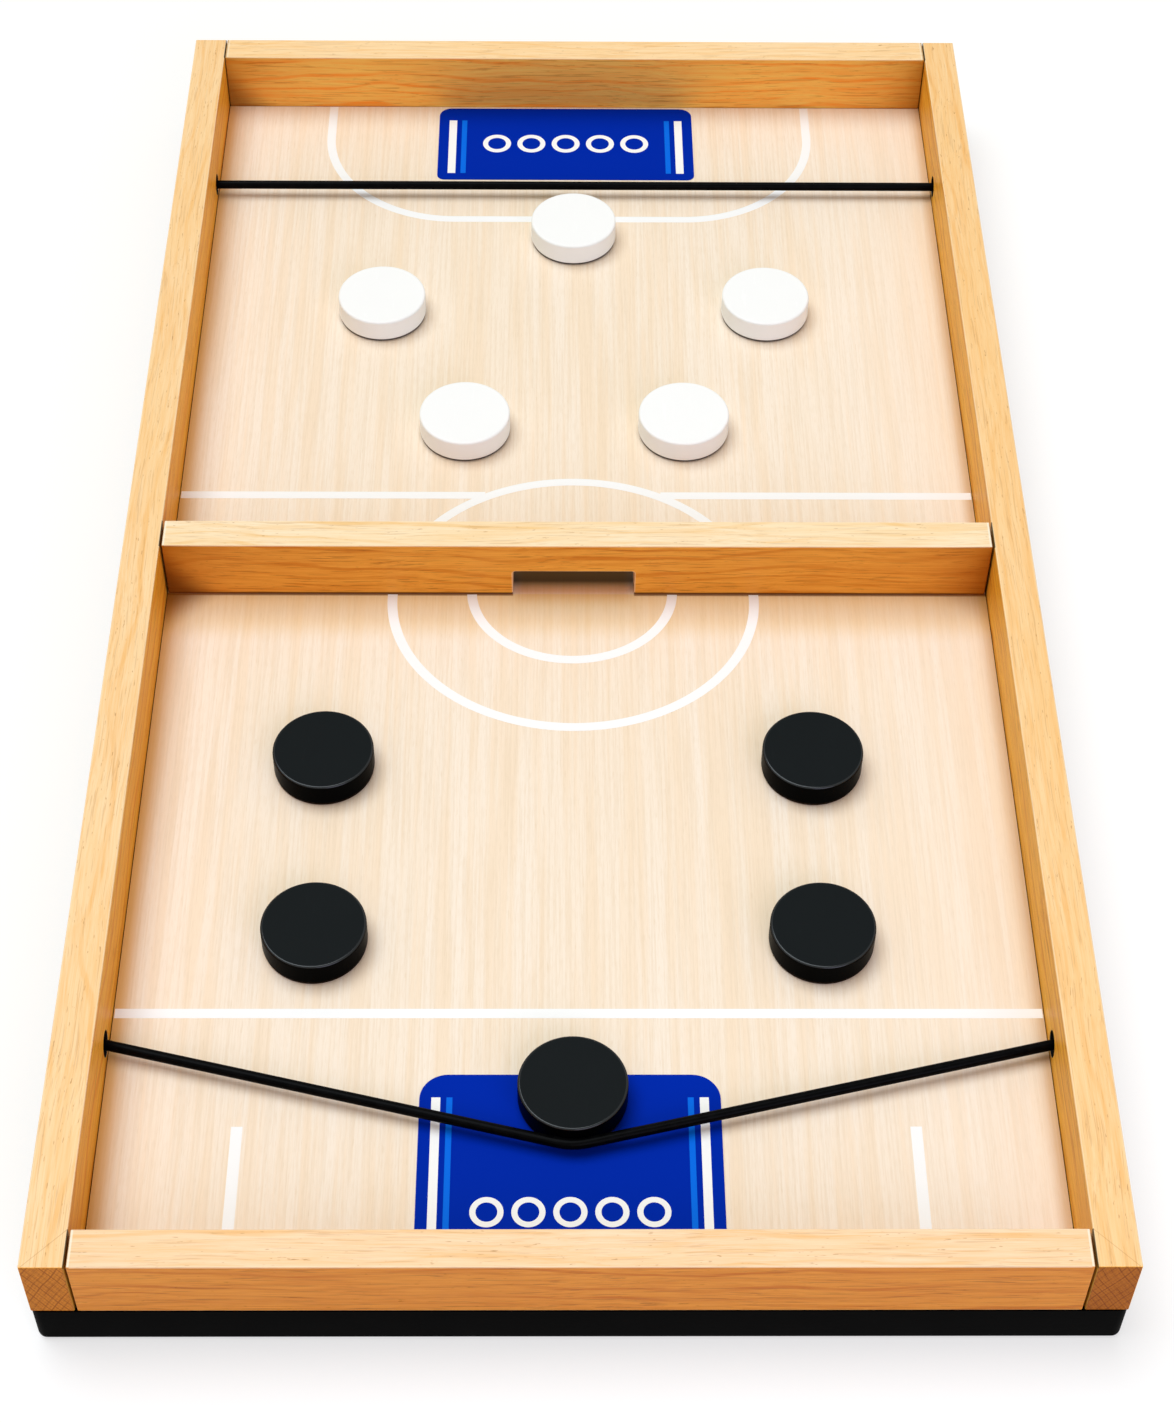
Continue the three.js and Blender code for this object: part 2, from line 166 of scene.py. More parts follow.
class WoodSettings(PropertyGroup):
    """The rails, the divider and the playing board."""

    edge_radius: length_setting("Edge radius", "Rounding of the timber's edges", 0.4 * MM)
    ring_pitch: length_setting("Ring pitch", "Distance between two growth rings", 3.1 * MM)
    left_rail_top: colour_setting("Left rail top", "Top of the left rail", (0.95, 0.64, 0.325))
    right_rail_top: colour_setting("Right rail top", "Top of the right rail", (0.94, 0.61, 0.285))
    back_rail_top: colour_setting("Back rail top", "Top of the back rail", (0.965, 0.675, 0.365))
    front_rail_top: colour_setting("Front rail top", "Top of the front rail", (0.945, 0.66, 0.395))
    divider_top: colour_setting("Divider top", "Top of the divider", (0.955, 0.74, 0.465))
    side_light: colour_setting("Face, light", "Pale wood of the upright faces", (0.95, 0.39, 0.062))
    side_dark: colour_setting("Face, dark", "Late wood of the upright faces", (0.70, 0.20, 0.014))
    end_light: colour_setting("End grain, light", "Pale wood of the sawn ends", (0.70, 0.255, 0.034))
    end_dark: colour_setting("End grain, dark", "Rings and rays of the sawn ends", (0.34, 0.095, 0.005))
    fleck: colour_setting("Fleck", "Pores and small flecks", (0.40, 0.16, 0.030))
    # The eased edge colour is a painted highlight along the rounded edges.
    edge: colour_setting("Eased edge", "Paler wood along the eased edges", (0.99, 0.83, 0.58))
    seam: colour_setting("Seam", "Inside the joints", (0.006, 0.018, 0.010))
    # The seam's light colour is a painted highlight beside the joints.
    seam_highlight: colour_setting("Seam, light", "Paler wood beside the joints", (0.93, 0.88, 0.72))
    # The colour at the gate is painted shade in front of the gate's opening.
    gate_front_shade: colour_setting("At the gate", "Rubbed veneer in the gate's opening", (0.80, 0.30, 0.0))
    under_gate: colour_setting("Under the gate", "Shaded veneer under the divider", (0.02, 0.007, 0.001))
    board_light: colour_setting("Board, light", "Pale veneer of the board", (0.94, 0.815, 0.68))
    board_dark: colour_setting("Board, dark", "Fine lines in the board's veneer", (0.807, 0.64, 0.455))
    board_pink: colour_setting("Board, pink", "Warmer drift in the board's veneer", (0.93, 0.79, 0.635))
    board_lane: colour_setting("Board, lanes", "Warm lanes along the board", (0.905, 0.70, 0.485))
    # The board's edge colour is painted shade along the side rails, in the divider's corners and at its foot.
    board_painted_shade: colour_setting("Board, edge", "Stain gathered along the rails", (0.68, 0.33, 0.0))
    # The colour at the divider is a painted shadow of the divider on the board in front of it.
    board_front: colour_setting("Board, at the divider", "Stain in front of the divider", (0.66, 0.36, 0.0))
    # The worn board colour is painted light: the veneer is made paler towards the right rail.
    board_painted_light: colour_setting("Board, worn", "Veneer rubbed paler by the right rail", (0.95, 0.88, 0.79))


class PrintSettings(PropertyGroup):
    """The court lines on the board and the printing of the labels."""

    line_width: length_setting("Line width", "Width of the court lines", 3.4 * MM)
    line_depth: length_setting("Line depth", "Thickness of the court lines' ink", 0.05 * MM)
    ink_depth: length_setting("Print depth", "Thickness of the labels' print", 0.03 * MM)
    white: colour_setting("White ink", "Colour of the lines", (0.95, 0.95, 0.945))
    royal: colour_setting("Label blue", "Ground colour of the labels", (0.0, 0.0225, 0.39))
    sky: colour_setting("Light blue", "Second colour of the labels", (0.002, 0.15, 0.80))


class PuckSettings(PropertyGroup):
    """The pucks."""

    rim_radius: length_setting("Rim radius", "Rounding of a puck's rims", 0.8 * MM)
    foot_inset: length_setting("Foot inset", "How far the foot stands in from the rim", 0.25 * MM)
    foot_height: length_setting("Foot height", "How far the foot stands out below", 0.65 * MM)
    black: colour_setting("Black", "Colour of the front player's pucks", (0.0099, 0.0121, 0.0129))
    white: colour_setting("White", "Colour of the back player's pucks", (0.93, 0.93, 0.925))


class CordSettings(PropertyGroup):
    """The elastic slings."""

    colour: colour_setting("Cord", "Colour of the elastic", (0.0006, 0.0006, 0.0007))
    colour_worn: colour_setting("Cord, worn", "Where the sheath is rubbed", (0.002, 0.002, 0.0022))


class GameSettings(PropertyGroup):
    """All the settings of the game."""

    view: PointerProperty(type=ViewSettings, name="View", description="The camera")
    stage: PointerProperty(type=StageSettings, name="Stage", description="Floor and light")
    wood: PointerProperty(type=WoodSettings, name="Wood", description="Timber and veneer")
    prints: PointerProperty(type=PrintSettings, name="Prints", description="Lines and labels")
    pucks: PointerProperty(type=PuckSettings, name="Pucks", description="The pucks")
    cords: PointerProperty(type=CordSettings, name="Cords", description="The slings")


# Finishes


class Amount:
    """A number that changes over a surface. Arithmetic on it adds Math nodes to its finish."""

    def __init__(self, finish, socket):
        self.finish = finish
        self.socket = socket

    def maths(self, operation, *others):
        values = dict(enumerate((self,) + others))
        return self.finish.number("Math", values, operation=operation)

    def __add__(self, other):
        return self.maths("ADD", other)

    def __sub__(self, other):
        return self.maths("SUBTRACT", other)

    def __rsub__(self, other):
        return (self * -1) + other

    def __mul__(self, other):
        return self.maths("MULTIPLY", other)

    def __abs__(self):
        return self.maths("ABSOLUTE")

    def wave(self, length):
        """Rises and falls between 0 and 1 once in every given length."""
        return (self * (2 * math.pi / length)).maths("SINE") * 0.5 + 0.5

    def above(self, edge, softness):
        """0 below the edge and 1 above it, with a soft change of the given width."""
        values = {0: self, 1: edge - softness / 2, 2: edge + softness / 2}
        return self.finish.number("MapRange", values, interpolation_type="SMOOTHSTEP")

    def below(self, edge, softness):
        """1 below the edge and 0 above it."""
        return 1 - self.above(edge, softness)

    def near(self, middle, half, softness):
        """1 within half a width of the middle and 0 outside it."""
        return abs(self - middle).below(half, softness)


class Nodes:
    """A node tree that is being written."""

    def __init__(self, tree):
        self.tree = tree
        tree.nodes.clear()

    def node(self, kind, values=(), **settings):
        """Adds a node: its settings first, then the values or links of its sockets."""
        made = self.tree.nodes.new("ShaderNode" + kind)
        for name, setting in settings.items():
            setattr(made, name, setting)
        for key, value in dict(values).items():
            source = getattr(value, "socket", value)
            if isinstance(source, bpy.types.NodeSocket):
                self.tree.links.new(source, made.inputs[key])
            elif made.inputs[key].type == "RGBA":
                made.inputs[key].default_value = (*value[:3], 1)
            else:
                made.inputs[key].default_value = value
        return made

    def number(self, kind, values, **settings):
        return Amount(self, self.node(kind, values, **settings).outputs[0])

    def direct_view(self):
        """1 where the camera looks, straight or by way of something glossy or clear."""
        rays = self.node("LightPath").outputs
        kinds = ("Is Camera Ray", "Is Glossy Ray", "Is Transmission Ray")
        seen, glossy, clear = (Amount(self, rays[kind]) for kind in kinds)
        return seen.maths("MAXIMUM", glossy.maths("MAXIMUM", clear))


class Finish(Nodes):
    """A material that is being written node by node."""

    def __init__(self, name):
        self.material = bpy.data.materials.new(name)
        self.material.use_nodes = True
        super().__init__(self.material.node_tree)

    def place(self, scale=(1, 1, 1), shift=(0, 0, 0)):
        """The point on the piece, from the game's origin in metres, stretched and shifted."""
        where = self.node("TexCoord").outputs["Object"]
        return self.node("Mapping", {"Vector": where, "Scale": scale, "Location": shift}).outputs[0]

    def axes(self, vector):
        """The three numbers of a vector."""
        parts = self.node("SeparateXYZ", {"Vector": vector})
        return [Amount(self, output) for output in parts.outputs]

    def facing(self):
        """The three numbers of the direction that the surface faces."""
        return self.axes(self.node("TexCoord").outputs["Normal"])

    def cloud(self, where, detail, roughness=0.5, distortion=0.0):
        """Noise over a vector that is already scaled."""
        values = {
            "Vector": where,
            "Scale": 1.0,
            "Detail": detail,
            "Roughness": roughness,
            "Distortion": distortion,
        }
        return self.number("TexNoise", values)

    def noise(self, scale, detail=2.0, distortion=0.0, shift=(0, 0, 0)):
        """Noise over the piece, with one scale for each axis."""
        scale = scale if isinstance(scale, tuple) else (scale,) * 3
        return self.cloud(self.place(scale, shift), detail, distortion=distortion)

    def combined(self, x, y, z):
        return self.node("CombineXYZ", {"X": x, "Y": y, "Z": z}).outputs[0]

    def tint(self, share, first, second):
        """The first colour where share is 0 and the second where it is 1."""
        return self.node("Mix", {0: share, 6: first, 7: second}, data_type="RGBA").outputs[2]

    def surface(self, colour, roughness, relief, relief_depth, **others):
        """Ends the finish. Relief is a height from 0 to 1, and its depth is in metres."""
        bump = {"Height": relief, "Strength": 1.0, "Distance": relief_depth}
        values = {"Base Color": colour, "Roughness": roughness}
        values["Normal"] = self.node("Bump", bump).outputs[0]
        values.update({name.replace("_", " "): value for name, value in others.items()})
        shader = self.node("BsdfPrincipled", values)
        self.node("OutputMaterial", {"Surface": shader.outputs[0]})
        return self.material


def shaded(colour, *shares):
    """A colour with each of its parts taken to a share of itself, and to 1 at most."""
    shares = shares if len(shares) == 3 else shares * 3
    return tuple(min(1, part * share) for part, share in zip(colour, shares))


class Timber(Finish):
    """Lacquered softwood for one node. Its grain runs along one axis: 0 for X and 1 for Y."""

    pith_aside = 46 * MM
    pith_below = 34 * MM
    second_ring_share = 1.618
    ray_pitch = 5.3 * MM
    end_ring_pitch = 4.6 * MM
    foot_height = 0.9 * MM
    corner_reach = 12 * MM

    def __init__(self, node, settings, along):
        super().__init__(node + "_timber")
        self.settings = settings
        self.along = along
        self.low, self.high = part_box(node)
        self.spot = self.axes(self.place())
        self.faces = self.facing()
        self.upward = self.faces[2].above(0.75, 0.2)
        self.endward = abs(self.faces[along]).above(0.8, 0.2)
        self.from_pith = self.spot[1 - along] - (self.low[1 - along] - self.pith_aside)
        self.over_pith = self.spot[2] - (self.low.z - self.pith_below)
        self.sway = self.wobble(9, 18, (3, 9, 4)) * (9 * MM)
        self.patch = self.noise(self.grain(10, 60), shift=(8, 8, 3)).above(0.50, 0.36)

    def grain(self, long, cross):
        """One scale along the grain, and another across it."""
        return tuple(long if axis == self.along else cross for axis in range(3))

    def wobble(self, long, cross, shift):
        """A soft change between -0.5 and 0.5."""
        return self.noise(self.grain(long, cross), shift=shift) - 0.5

    def fibres(self, long, cross, detail, shift):
        """Fibres that sway a little from the plank's own line."""
        where = self.combined(
            self.spot[self.along] * long + shift,
            (self.spot[1 - self.along] + self.sway) * cross + shift,
            (self.spot[2] + self.sway) * cross,
        )
        return self.cloud(where, detail, roughness=0.66)

    def late_wood(self):
        """Growth rings about a pith that lies outside the plank, low to one side."""
        radius = (self.from_pith * self.from_pith + self.over_pith * self.over_pith).maths("SQRT")
        radius = radius + self.wobble(10, 14, (5, 5, 5)) * (19 * MM)
        radius = radius + self.wobble(34, 150, (1, 7, 2)) * (2.6 * MM)
        radius = radius + self.wobble(70, 900, (4, 2, 8)) * (0.7 * MM)
        pitch = self.settings.ring_pitch
        ring = radius.wave(pitch).above(0.72, 0.5)
        ring = ring * radius.wave(pitch * self.second_ring_share).above(0.40, 0.6)
        return ring * (self.patch * 0.7 + 0.3)

    def sawn_end(self, shares):
        """The sawn ends show the rings and, across them, the rays."""
        steep = self.from_pith * 1.9
        falling = steep - self.over_pith + self.wobble(26, 26, (2, 2, 9)) * (12 * MM)
        rising = steep + self.over_pith + self.wobble(26, 26, (7, 3, 1)) * (12 * MM)
        broken = self.noise(190, shift=(3, 3, 8)).above(0.5, 0.3)
        ray = falling.wave(self.ray_pitch).above(0.95, 0.12) * (falling.wave(15 * MM) * 0.5 + 0.5)
        ring = rising.wave(self.end_ring_pitch).above(0.95, 0.12) * (rising.wave(11 * MM) * 0.5 + 0.5)
        hatching = falling.wave(2.3 * MM).above(0.6, 0.8) + rising.wave(2.1 * MM).above(0.6, 0.8)
        speck = self.noise(1500).above(0.5, 0.4)
        dark = (ring + ray) * (broken * 0.55 + 0.45) + hatching * 0.18 + speck * 0.30 + self.patch * 0.15
        light_end, dark_end = self.settings.end_light, self.settings.end_dark
        return self.tint(dark, shaded(light_end, *shares), shaded(dark_end, *shares))

    def eased(self):
        """1 on the rounded edges, apart from those round the sawn ends."""
        flat_x, flat_y, flat_z = (abs(number) for number in self.faces)
        square = flat_x.maths("MAXIMUM", flat_y.maths("MAXIMUM", flat_z))
        start, end = self.low[self.along], self.high[self.along]
        half = (end - start) / 2
        tip = abs(self.spot[self.along] - (start + half)).above(half - 0.9 * MM, 0.5 * MM)
        return square.below(0.985, 0.02) * (1 - tip)

    def painted_shade(self, colour, side_light, side_dark, share):
        """Paints shade on the inner faces where they meet the board and each other, and on the cross pieces a
        painted shadow of the left rail.
        """
        upright = 1 - self.upward
        beside = abs(self.spot[0]) - INNER_X
        indoors = abs(self.spot[1]).below(INNER_Y + 2 * MM, 1 * MM) * share
        # Painted shade: a dark band along the foot of the inner faces.
        foot = self.spot[2].below(self.low.z + self.foot_height, 0.6 * MM) * (1 - self.endward)
        colour = self.tint(foot * indoors, colour, shaded(side_dark, 0.14))
        # Painted shade: darker towards the ends of the cross pieces, where they meet the side rails.
        corner = (beside * (1 / self.corner_reach)).maths("EXPONENT") * upright
        colour = self.tint(corner * indoors, colour, shaded(side_light, 0.45, 0.28, 0.05))
        if self.along == 1:
            return colour
        # Painted shadow of the left rail: a dark wedge at the left end of the cross pieces' front faces.
        into_corner = self.spot[0] + INNER_X + (self.spot[2] - self.low.z) * 0.85
        wedge = into_corner.below(14.5 * MM, 16 * MM) * upright * self.faces[1].below(-0.5, 0.2)
        return self.tint(wedge * indoors * 0.8, colour, shaded(side_light, 0.12, 0.05, 0.02))

    def seamed(self, colour, share):
        """Draws the joints of a cross piece: a dark line at each end, and a painted highlight beside it on top."""
        across = abs(self.spot[0]) + self.upward * (0.5 * MM)
        # Painted highlight beside the joint on top.
        pale = across.near(INNER_X - 0.75 * MM, 0.3 * MM, 0.2 * MM) * self.upward
        colour = self.tint(pale * (0.75 * share), colour, self.settings.seam_highlight)
        seam = across.above(INNER_X - 0.35 * MM, 0.2 * MM) * (self.upward * 0.3 + 0.7)
        return self.tint(seam * share, colour, self.settings.seam)

    def cracked(self, colour):
        """Draws the joints of a side rail: cracks where cross pieces meet it and the front mitres, and paints
        shade inside the cord holes.
        """
        aside, along = abs(self.spot[0]), self.spot[1]
        middle = (DIVIDER_LOW.y + DIVIDER_HIGH.y) / 2
        joints = abs(along).above(INNER_Y, 0.1 * MM)
        joints = joints + along.near(middle, DIVIDER_HIGH.y - middle, 0.1 * MM)
        crack = joints * aside.below(INNER_X + 0.25 * MM, 0.2 * MM)
        crack = crack * (self.spot[2].above(self.high.z - 1.0 * MM, 0.3 * MM) * 0.4 + 0.45)
        colour = self.tint(crack, colour, self.settings.seam)
        mitre = (aside + along).near(INNER_X - INNER_Y, 0.2 * MM, 0.2 * MM) * self.upward
        mitre = mitre * along.below(-INNER_Y, 0.2 * MM)
        colour = self.tint(mitre * 0.3, colour, self.settings.fleck)
        # Painted shade inside the cord holes.
        return self.tint(self.bored(), colour, shaded(self.settings.seam, 0.8, 0.25, 0.5))

    def bored(self):
        """1 inside the holes of a side rail."""
        half = (self.high.x - self.low.x) / 2
        inside = self.spot[0].near(self.low.x + half, half - 0.15 * MM, 0.1 * MM)
        level = self.spot[2].near(centre("front_cord_bight").z, 5.6 * MM, 0.4 * MM)
        return inside * level * abs(self.spot[1]).below(INNER_Y + 1 * MM, 0.2 * MM)

    def lacquer(self, top_colour, painted_face_light=(1, 1, 1), end_shares=(1, 1, 1), painted_shade_share=0.0, seam=1.0):
        """Writes the whole finish. Face and end shares are painted light: they make the upright faces and the sawn
        ends lighter or darker as light falls on each piece. The shade share sets how dark the painted shade is at
        the inner faces' feet and corners, and seam how dark the joints are."""
        settings = self.settings
        side_light = shaded(settings.side_light, *painted_face_light)
        side_dark = shaded(settings.side_dark, *painted_face_light)
        late = self.late_wood()
        streak = self.fibres(20, 560, 4, 0).above(0.52, 0.30)
        fibre = self.fibres(60, 2600, 3, 2)
        strand = fibre.above(0.52, 0.24)
        fleck = self.fibres(230, 1500, 2, 7).above(0.70, 0.05)
        line = self.fibres(44, 1750, 2, 9).above(0.61, 0.07)
        drift = self.noise(self.grain(14, 90), shift=(2, 4, 6)).above(0.5, 0.5)

        top = self.tint(
            late * 0.45 + streak * 0.42 + strand * 0.28,
            shaded(top_colour, 1.02, 1.09, 1.22),
            shaded(top_colour, 0.94, 0.76, 0.50),
        )
        top = self.tint(drift * 0.35, top, shaded(top_colour, 1.0, 0.95, 0.80))
        top = self.tint(line * 0.24 + fleck * 0.55, top, settings.fleck)
        side_share = late * 0.66 + streak * 0.36 + strand * 0.28 + drift * 0.12
        side = self.tint(side_share, side_light, side_dark)
        side = self.tint(line * 0.5 + fleck * 0.4, side, shaded(side_dark, 0.5))

        colour = self.tint(self.upward, side, top)
        colour = self.tint(self.endward, colour, self.sawn_end(end_shares))
        # Painted highlight along the eased edges.
        colour = self.tint(self.eased() * 0.45, colour, settings.edge)
        colour = self.painted_shade(colour, side_light, side_dark, painted_shade_share)
        colour = self.seamed(colour, seam) if self.along == 0 else self.cracked(colour)
        roughness = fibre * 0.14 + 0.36 + fleck * 0.2 + self.endward * 0.2
        relief = fibre * 0.6 + streak * 0.4 - fleck * 0.8
        return self.surface(colour, roughness, relief, 0.035 * MM, Specular_IOR_Level=0.16)


class Veneer(Finish):
    """The board's pale veneer: fine straight lines along the tray under a satin lacquer."""

    def __init__(self, settings):
        super().__init__("board_veneer")
        self.settings = settings
        self.across, self.along, _ = self.axes(self.place())
        self.sway = (self.noise((30, 9, 1)) - 0.5) * (0.8 * MM)
        self.before = DIVIDER_LOW.y - self.along

    def lines(self, pitch, length, detail, shift):
        """Streaks along the board, with about this pitch and this length."""
        across = (self.across + self.sway) * (1 / pitch) + shift
        return self.cloud(self.combined(across, self.along * (1 / length), shift), detail, roughness=0.62)

    def rubbed(self, colour):
        """Painted shade along the side rails, and painted light that makes the veneer paler towards the right
        rail.
        """
        edge = self.settings.board_painted_shade
        # Painted light: the veneer is made paler towards the right rail.
        worn = self.across.above(INNER_X - 40 * MM, 70 * MM)
        colour = self.tint(worn * 0.2, colour, self.settings.board_painted_light)
        # Painted shade along the foot of each side rail, deeper by the left rail.
        left_rim = (self.across * -1).above(INNER_X - 4.1 * MM, 8.2 * MM)
        colour = self.tint(left_rim * 0.74, colour, edge)
        right_rim = self.across.above(INNER_X - 3.2 * MM, 6.4 * MM)
        return self.tint(right_rim * 0.60, colour, shaded(edge, 0.75, 0.68, 1))

    def painted_shade(self, colour, passage):
        """Painted shadow in front of the divider, painted shade in its corners and a painted shade line where it
        stands on the board.
        """
        before, front = self.before, self.settings.board_front
        deep = shaded(self.settings.board_painted_shade, 0.40, 0.22, 1)
        front_court = before.above(0, 0.5 * MM)
        # Painted shadow of the divider on the board in front of it.
        painted_shade_share = front_court * before.below(17.5 * MM, 12 * MM)
        tone = self.tint(before.above(5 * MM, 10 * MM), shaded(front, 1.42, 1.7, 1), front)
        colour = self.tint(painted_shade_share * 0.33, colour, tone)
        # Painted shade in the corners between the divider and the side rails, deeper on the left.
        corner = (INNER_X - abs(self.across) + before).below(13 * MM, 18 * MM)
        corner = corner * front_court * (0.84 - self.across.above(0, 1 * MM) * 0.54)
        # Painted shade line along the divider's foot, left out under the gate.
        contact = before.above(-0.5 * MM, 0.5 * MM) * before.below(0.7 * MM, 0.8 * MM)
        colour = self.tint(corner, colour, deep)
        return self.tint(contact * (1 - passage) * 0.85, colour, deep)

    def lacquer(self):
        """Writes the whole finish."""
        settings = self.settings
        fine = self.lines(1.0 * MM, 60 * MM, 2.0, 0.0)
        hair = self.lines(0.45 * MM, 5 * MM, 1.0, 7.0)
        lanes = self.lines(5.5 * MM, 210 * MM, 3.0, 3.0)
        broad = self.lines(26 * MM, 400 * MM, 2.0, 5.0)
        fleck = self.lines(0.8 * MM, 7 * MM, 1.0, 9.0).above(0.70, 0.05)
        colour = self.tint(broad.above(0.52, 0.30) * 0.8, settings.board_light, settings.board_pink)
        colour = self.tint(lanes.above(0.53, 0.22) * 0.56, colour, settings.board_lane)
        share = fine.above(0.53, 0.20) * 0.34 + hair.above(0.56, 0.25) * 0.21 + fleck * 0.25
        colour = self.rubbed(self.tint(share, colour, settings.board_dark))

        from_gate = self.across - GATE_MIDDLE
        passage = from_gate.near(0, GATE_HALF_WIDTH, 0.5 * MM)
        colour = self.painted_shade(colour, passage)
        not_behind = self.along.below(DIVIDER_HIGH.y, 1 * MM)
        # Painted shade in front of the gate's opening.
        gate_shade_mask = from_gate.near(0, GATE_HALF_WIDTH - 1 * MM, 6 * MM) * not_behind
        gate_shade_mask = gate_shade_mask * self.before.below(0.5 * MM, 15 * MM)
        colour = self.tint(gate_shade_mask * 0.75, colour, settings.gate_front_shade)
        # Painted shade under the divider: its dark colour, made metallic so that the white reflection takes that
        # colour too.
        covered = self.along.above(-2.5 * MM, 6.5 * MM) * passage * not_behind
        colour = self.tint(covered * 0.97, colour, settings.under_gate)
        relief = fine - fleck * 0.6
        roughness = fine * 0.12 + 0.40
        return self.surface(
            colour, roughness, relief, 0.012 * MM, Specular_IOR_Level=0.15, Metallic=covered
        )


def paint(name, colour, coarse, gloss):
    """Sprayed satin paint with a faint orange peel."""
    finish = Finish(name)
    peel = finish.noise(700, detail=3)
    dust = finish.noise(60, detail=4)
    shade = finish.tint(dust.above(0.5, 0.6) * 0.5, colour, shaded(colour, 1.5))
    return finish.surface(shade, dust * 0.15 + coarse, peel, 0.03 * MM, Specular_IOR_Level=gloss)


def ink(name, colour, coarse, gloss):
    """Screen-printed ink: even, with tiny changes of gloss."""
    finish = Finish(name)
    mottle = finish.noise(340, detail=3)
    shade = finish.tint(mottle * 0.25, colour, shaded(colour, 0.93))
    return finish.surface(shade, mottle * 0.12 + coarse, mottle, 0.004 * MM, Specular_IOR_Level=gloss)


def moulded(name, colour, painted_side_light, coarse, gloss, rim_shine):
    """Moulded plastic with a fine texture, light scuffs from sliding and a rim that is rubbed shiny."""
    foot_shadow = (0.02, 0.010, 0.004)
    finish = Finish(name)
    skin = finish.noise(2400)
    scuff = finish.noise((900, 90, 300), detail=3, distortion=1.2).above(0.66, 0.10)
    cloud = finish.noise(50, detail=3)
    shade = finish.tint(cloud * 0.35 + scuff * 0.25, colour, shaded(colour, 1.25))
    upright = abs(finish.facing()[2])
    # Painted light on the sides: much darker on the black pucks, bluer on the white ones.
    shade = finish.tint(upright.above(0.7, 0.5), shaded(colour, *painted_side_light), shade)
    height = finish.axes(finish.place())[2]
    foot = height.below(BOARD_TOP + 0.95 * MM, 0.3 * MM)
    shade = finish.tint(foot * 0.98, shade, foot_shadow)
    rim = upright.above(0.45, 0.2) * upright.below(0.997, 0.002)
    return finish.surface(
        shade,
        cloud * 0.10 + coarse + scuff * 0.10,
        skin - scuff * 0.5,
        0.006 * MM,
        Specular_IOR_Level=gloss,
        Coat_Weight=rim * rim_shine,
        Coat_Roughness=0.12,
    )


def elastic(settings):
    """Smooth rubber-sheathed cord with fine ribs along it."""
    finish = Finish("elastic_cord")
    rub = finish.noise(300, detail=3)
    ribs = finish.noise((60, 2600, 2600), detail=1)
    shade = finish.tint(rub.above(0.5, 0.4), settings.colour, settings.colour_worn)
    return finish.surface(shade, rub * 0.10 + 0.24, ribs, 0.01 * MM, Specular_IOR_Level=0.025)


def plated_steel():
    """Zinc plating with fine turning marks."""
    finish = Finish("screw_steel")
    swirl = finish.noise((1800, 1800, 400), detail=3)
    shade = finish.tint(swirl, (0.50, 0.51, 0.53), (0.66, 0.66, 0.67))
    return finish.surface(shade, swirl * 0.2 + 0.28, swirl, 0.01 * MM, Metallic=1.0)


# Modelling


def choose(piece):
    """Selects one object alone."""
    bpy.ops.object.select_all(action="DESELECT")
    piece.select_set(True)
    bpy.context.view_layer.objects.active = piece


def take_new(name):
    """Names the object that was just added and puts its place in its mesh."""
    piece = bpy.context.active_object
    piece.name = name
    piece.data.name = name
    choose(piece)
    bpy.ops.object.transform_apply(location=True, rotation=True, scale=True)
    return piece


def add_block(name, low, high):
    """A block between two corners."""
    bpy.ops.object.select_all(action="DESELECT")
    middle = (Vector(low) + Vector(high)) / 2
    bpy.ops.mesh.primitive_cube_add(size=1, location=middle, scale=Vector(high) - Vector(low))
    return take_new(name)


def add_sheet(name, low, high):
    """A flat rectangle between two corners, at the first one's height."""
    bpy.ops.object.select_all(action="DESELECT")
    middle = (Vector(low) + Vector(high)) / 2
    bpy.ops.mesh.primitive_plane_add(size=1, location=(middle.x, middle.y, low[2]))
    bpy.context.active_object.scale = (high[0] - low[0], high[1] - low[1], 1)
    return take_new(name)


def add_disc(name, sides, place, radius_x, radius_y, turn=(0, 0, 0)):
    """A flat round, which may be wider one way."""
    bpy.ops.object.select_all(action="DESELECT")
    bpy.ops.mesh.primitive_circle_add(
        vertices=sides, radius=1, fill_type="NGON", location=place, rotation=turn
    )
    bpy.context.active_object.scale = (radius_x, radius_y, 1)
    return take_new(name)


def add_rod(name, radius, start, end, sides):
    """A cylinder from one point to another."""
    bpy.ops.object.select_all(action="DESELECT")
    start, end = Vector(start), Vector(end)
    turn = Vector((0, 0, 1)).rotation_difference(end - start).to_euler()
    bpy.ops.mesh.primitive_cylinder_add(
        vertices=sides, radius=radius, depth=(end - start).length, location=(start + end) / 2, rotation=turn
    )
    return take_new(name)


def copy_of(pattern, name, move):
    """A copy with a mesh of its own, moved by a matrix."""
    piece = pattern.copy()
    piece.data = pattern.data.copy()
    piece.name = name
    piece.data.transform(move)
    bpy.context.collection.objects.link(piece)
    return piece


def apply_modifier(piece, kind, **settings):
    choose(piece)
    modifier = piece.modifiers.new(kind.lower(), kind)
    for name, value in settings.items():
        setattr(modifier, name, value)
    bpy.ops.object.modifier_apply(modifier=modifier.name)


def ease_edges(piece, width, segments):
    apply_modifier(piece, "BEVEL", width=width, segments=segments, limit_method="ANGLE")


def combine(piece, operation, *others):
    """Joins other solids to a piece, or cuts them out of it, and removes them."""
    for other in others:
        apply_modifier(piece, "BOOLEAN", operation=operation, solver="EXACT", object=other)
        bpy.data.objects.remove(other)


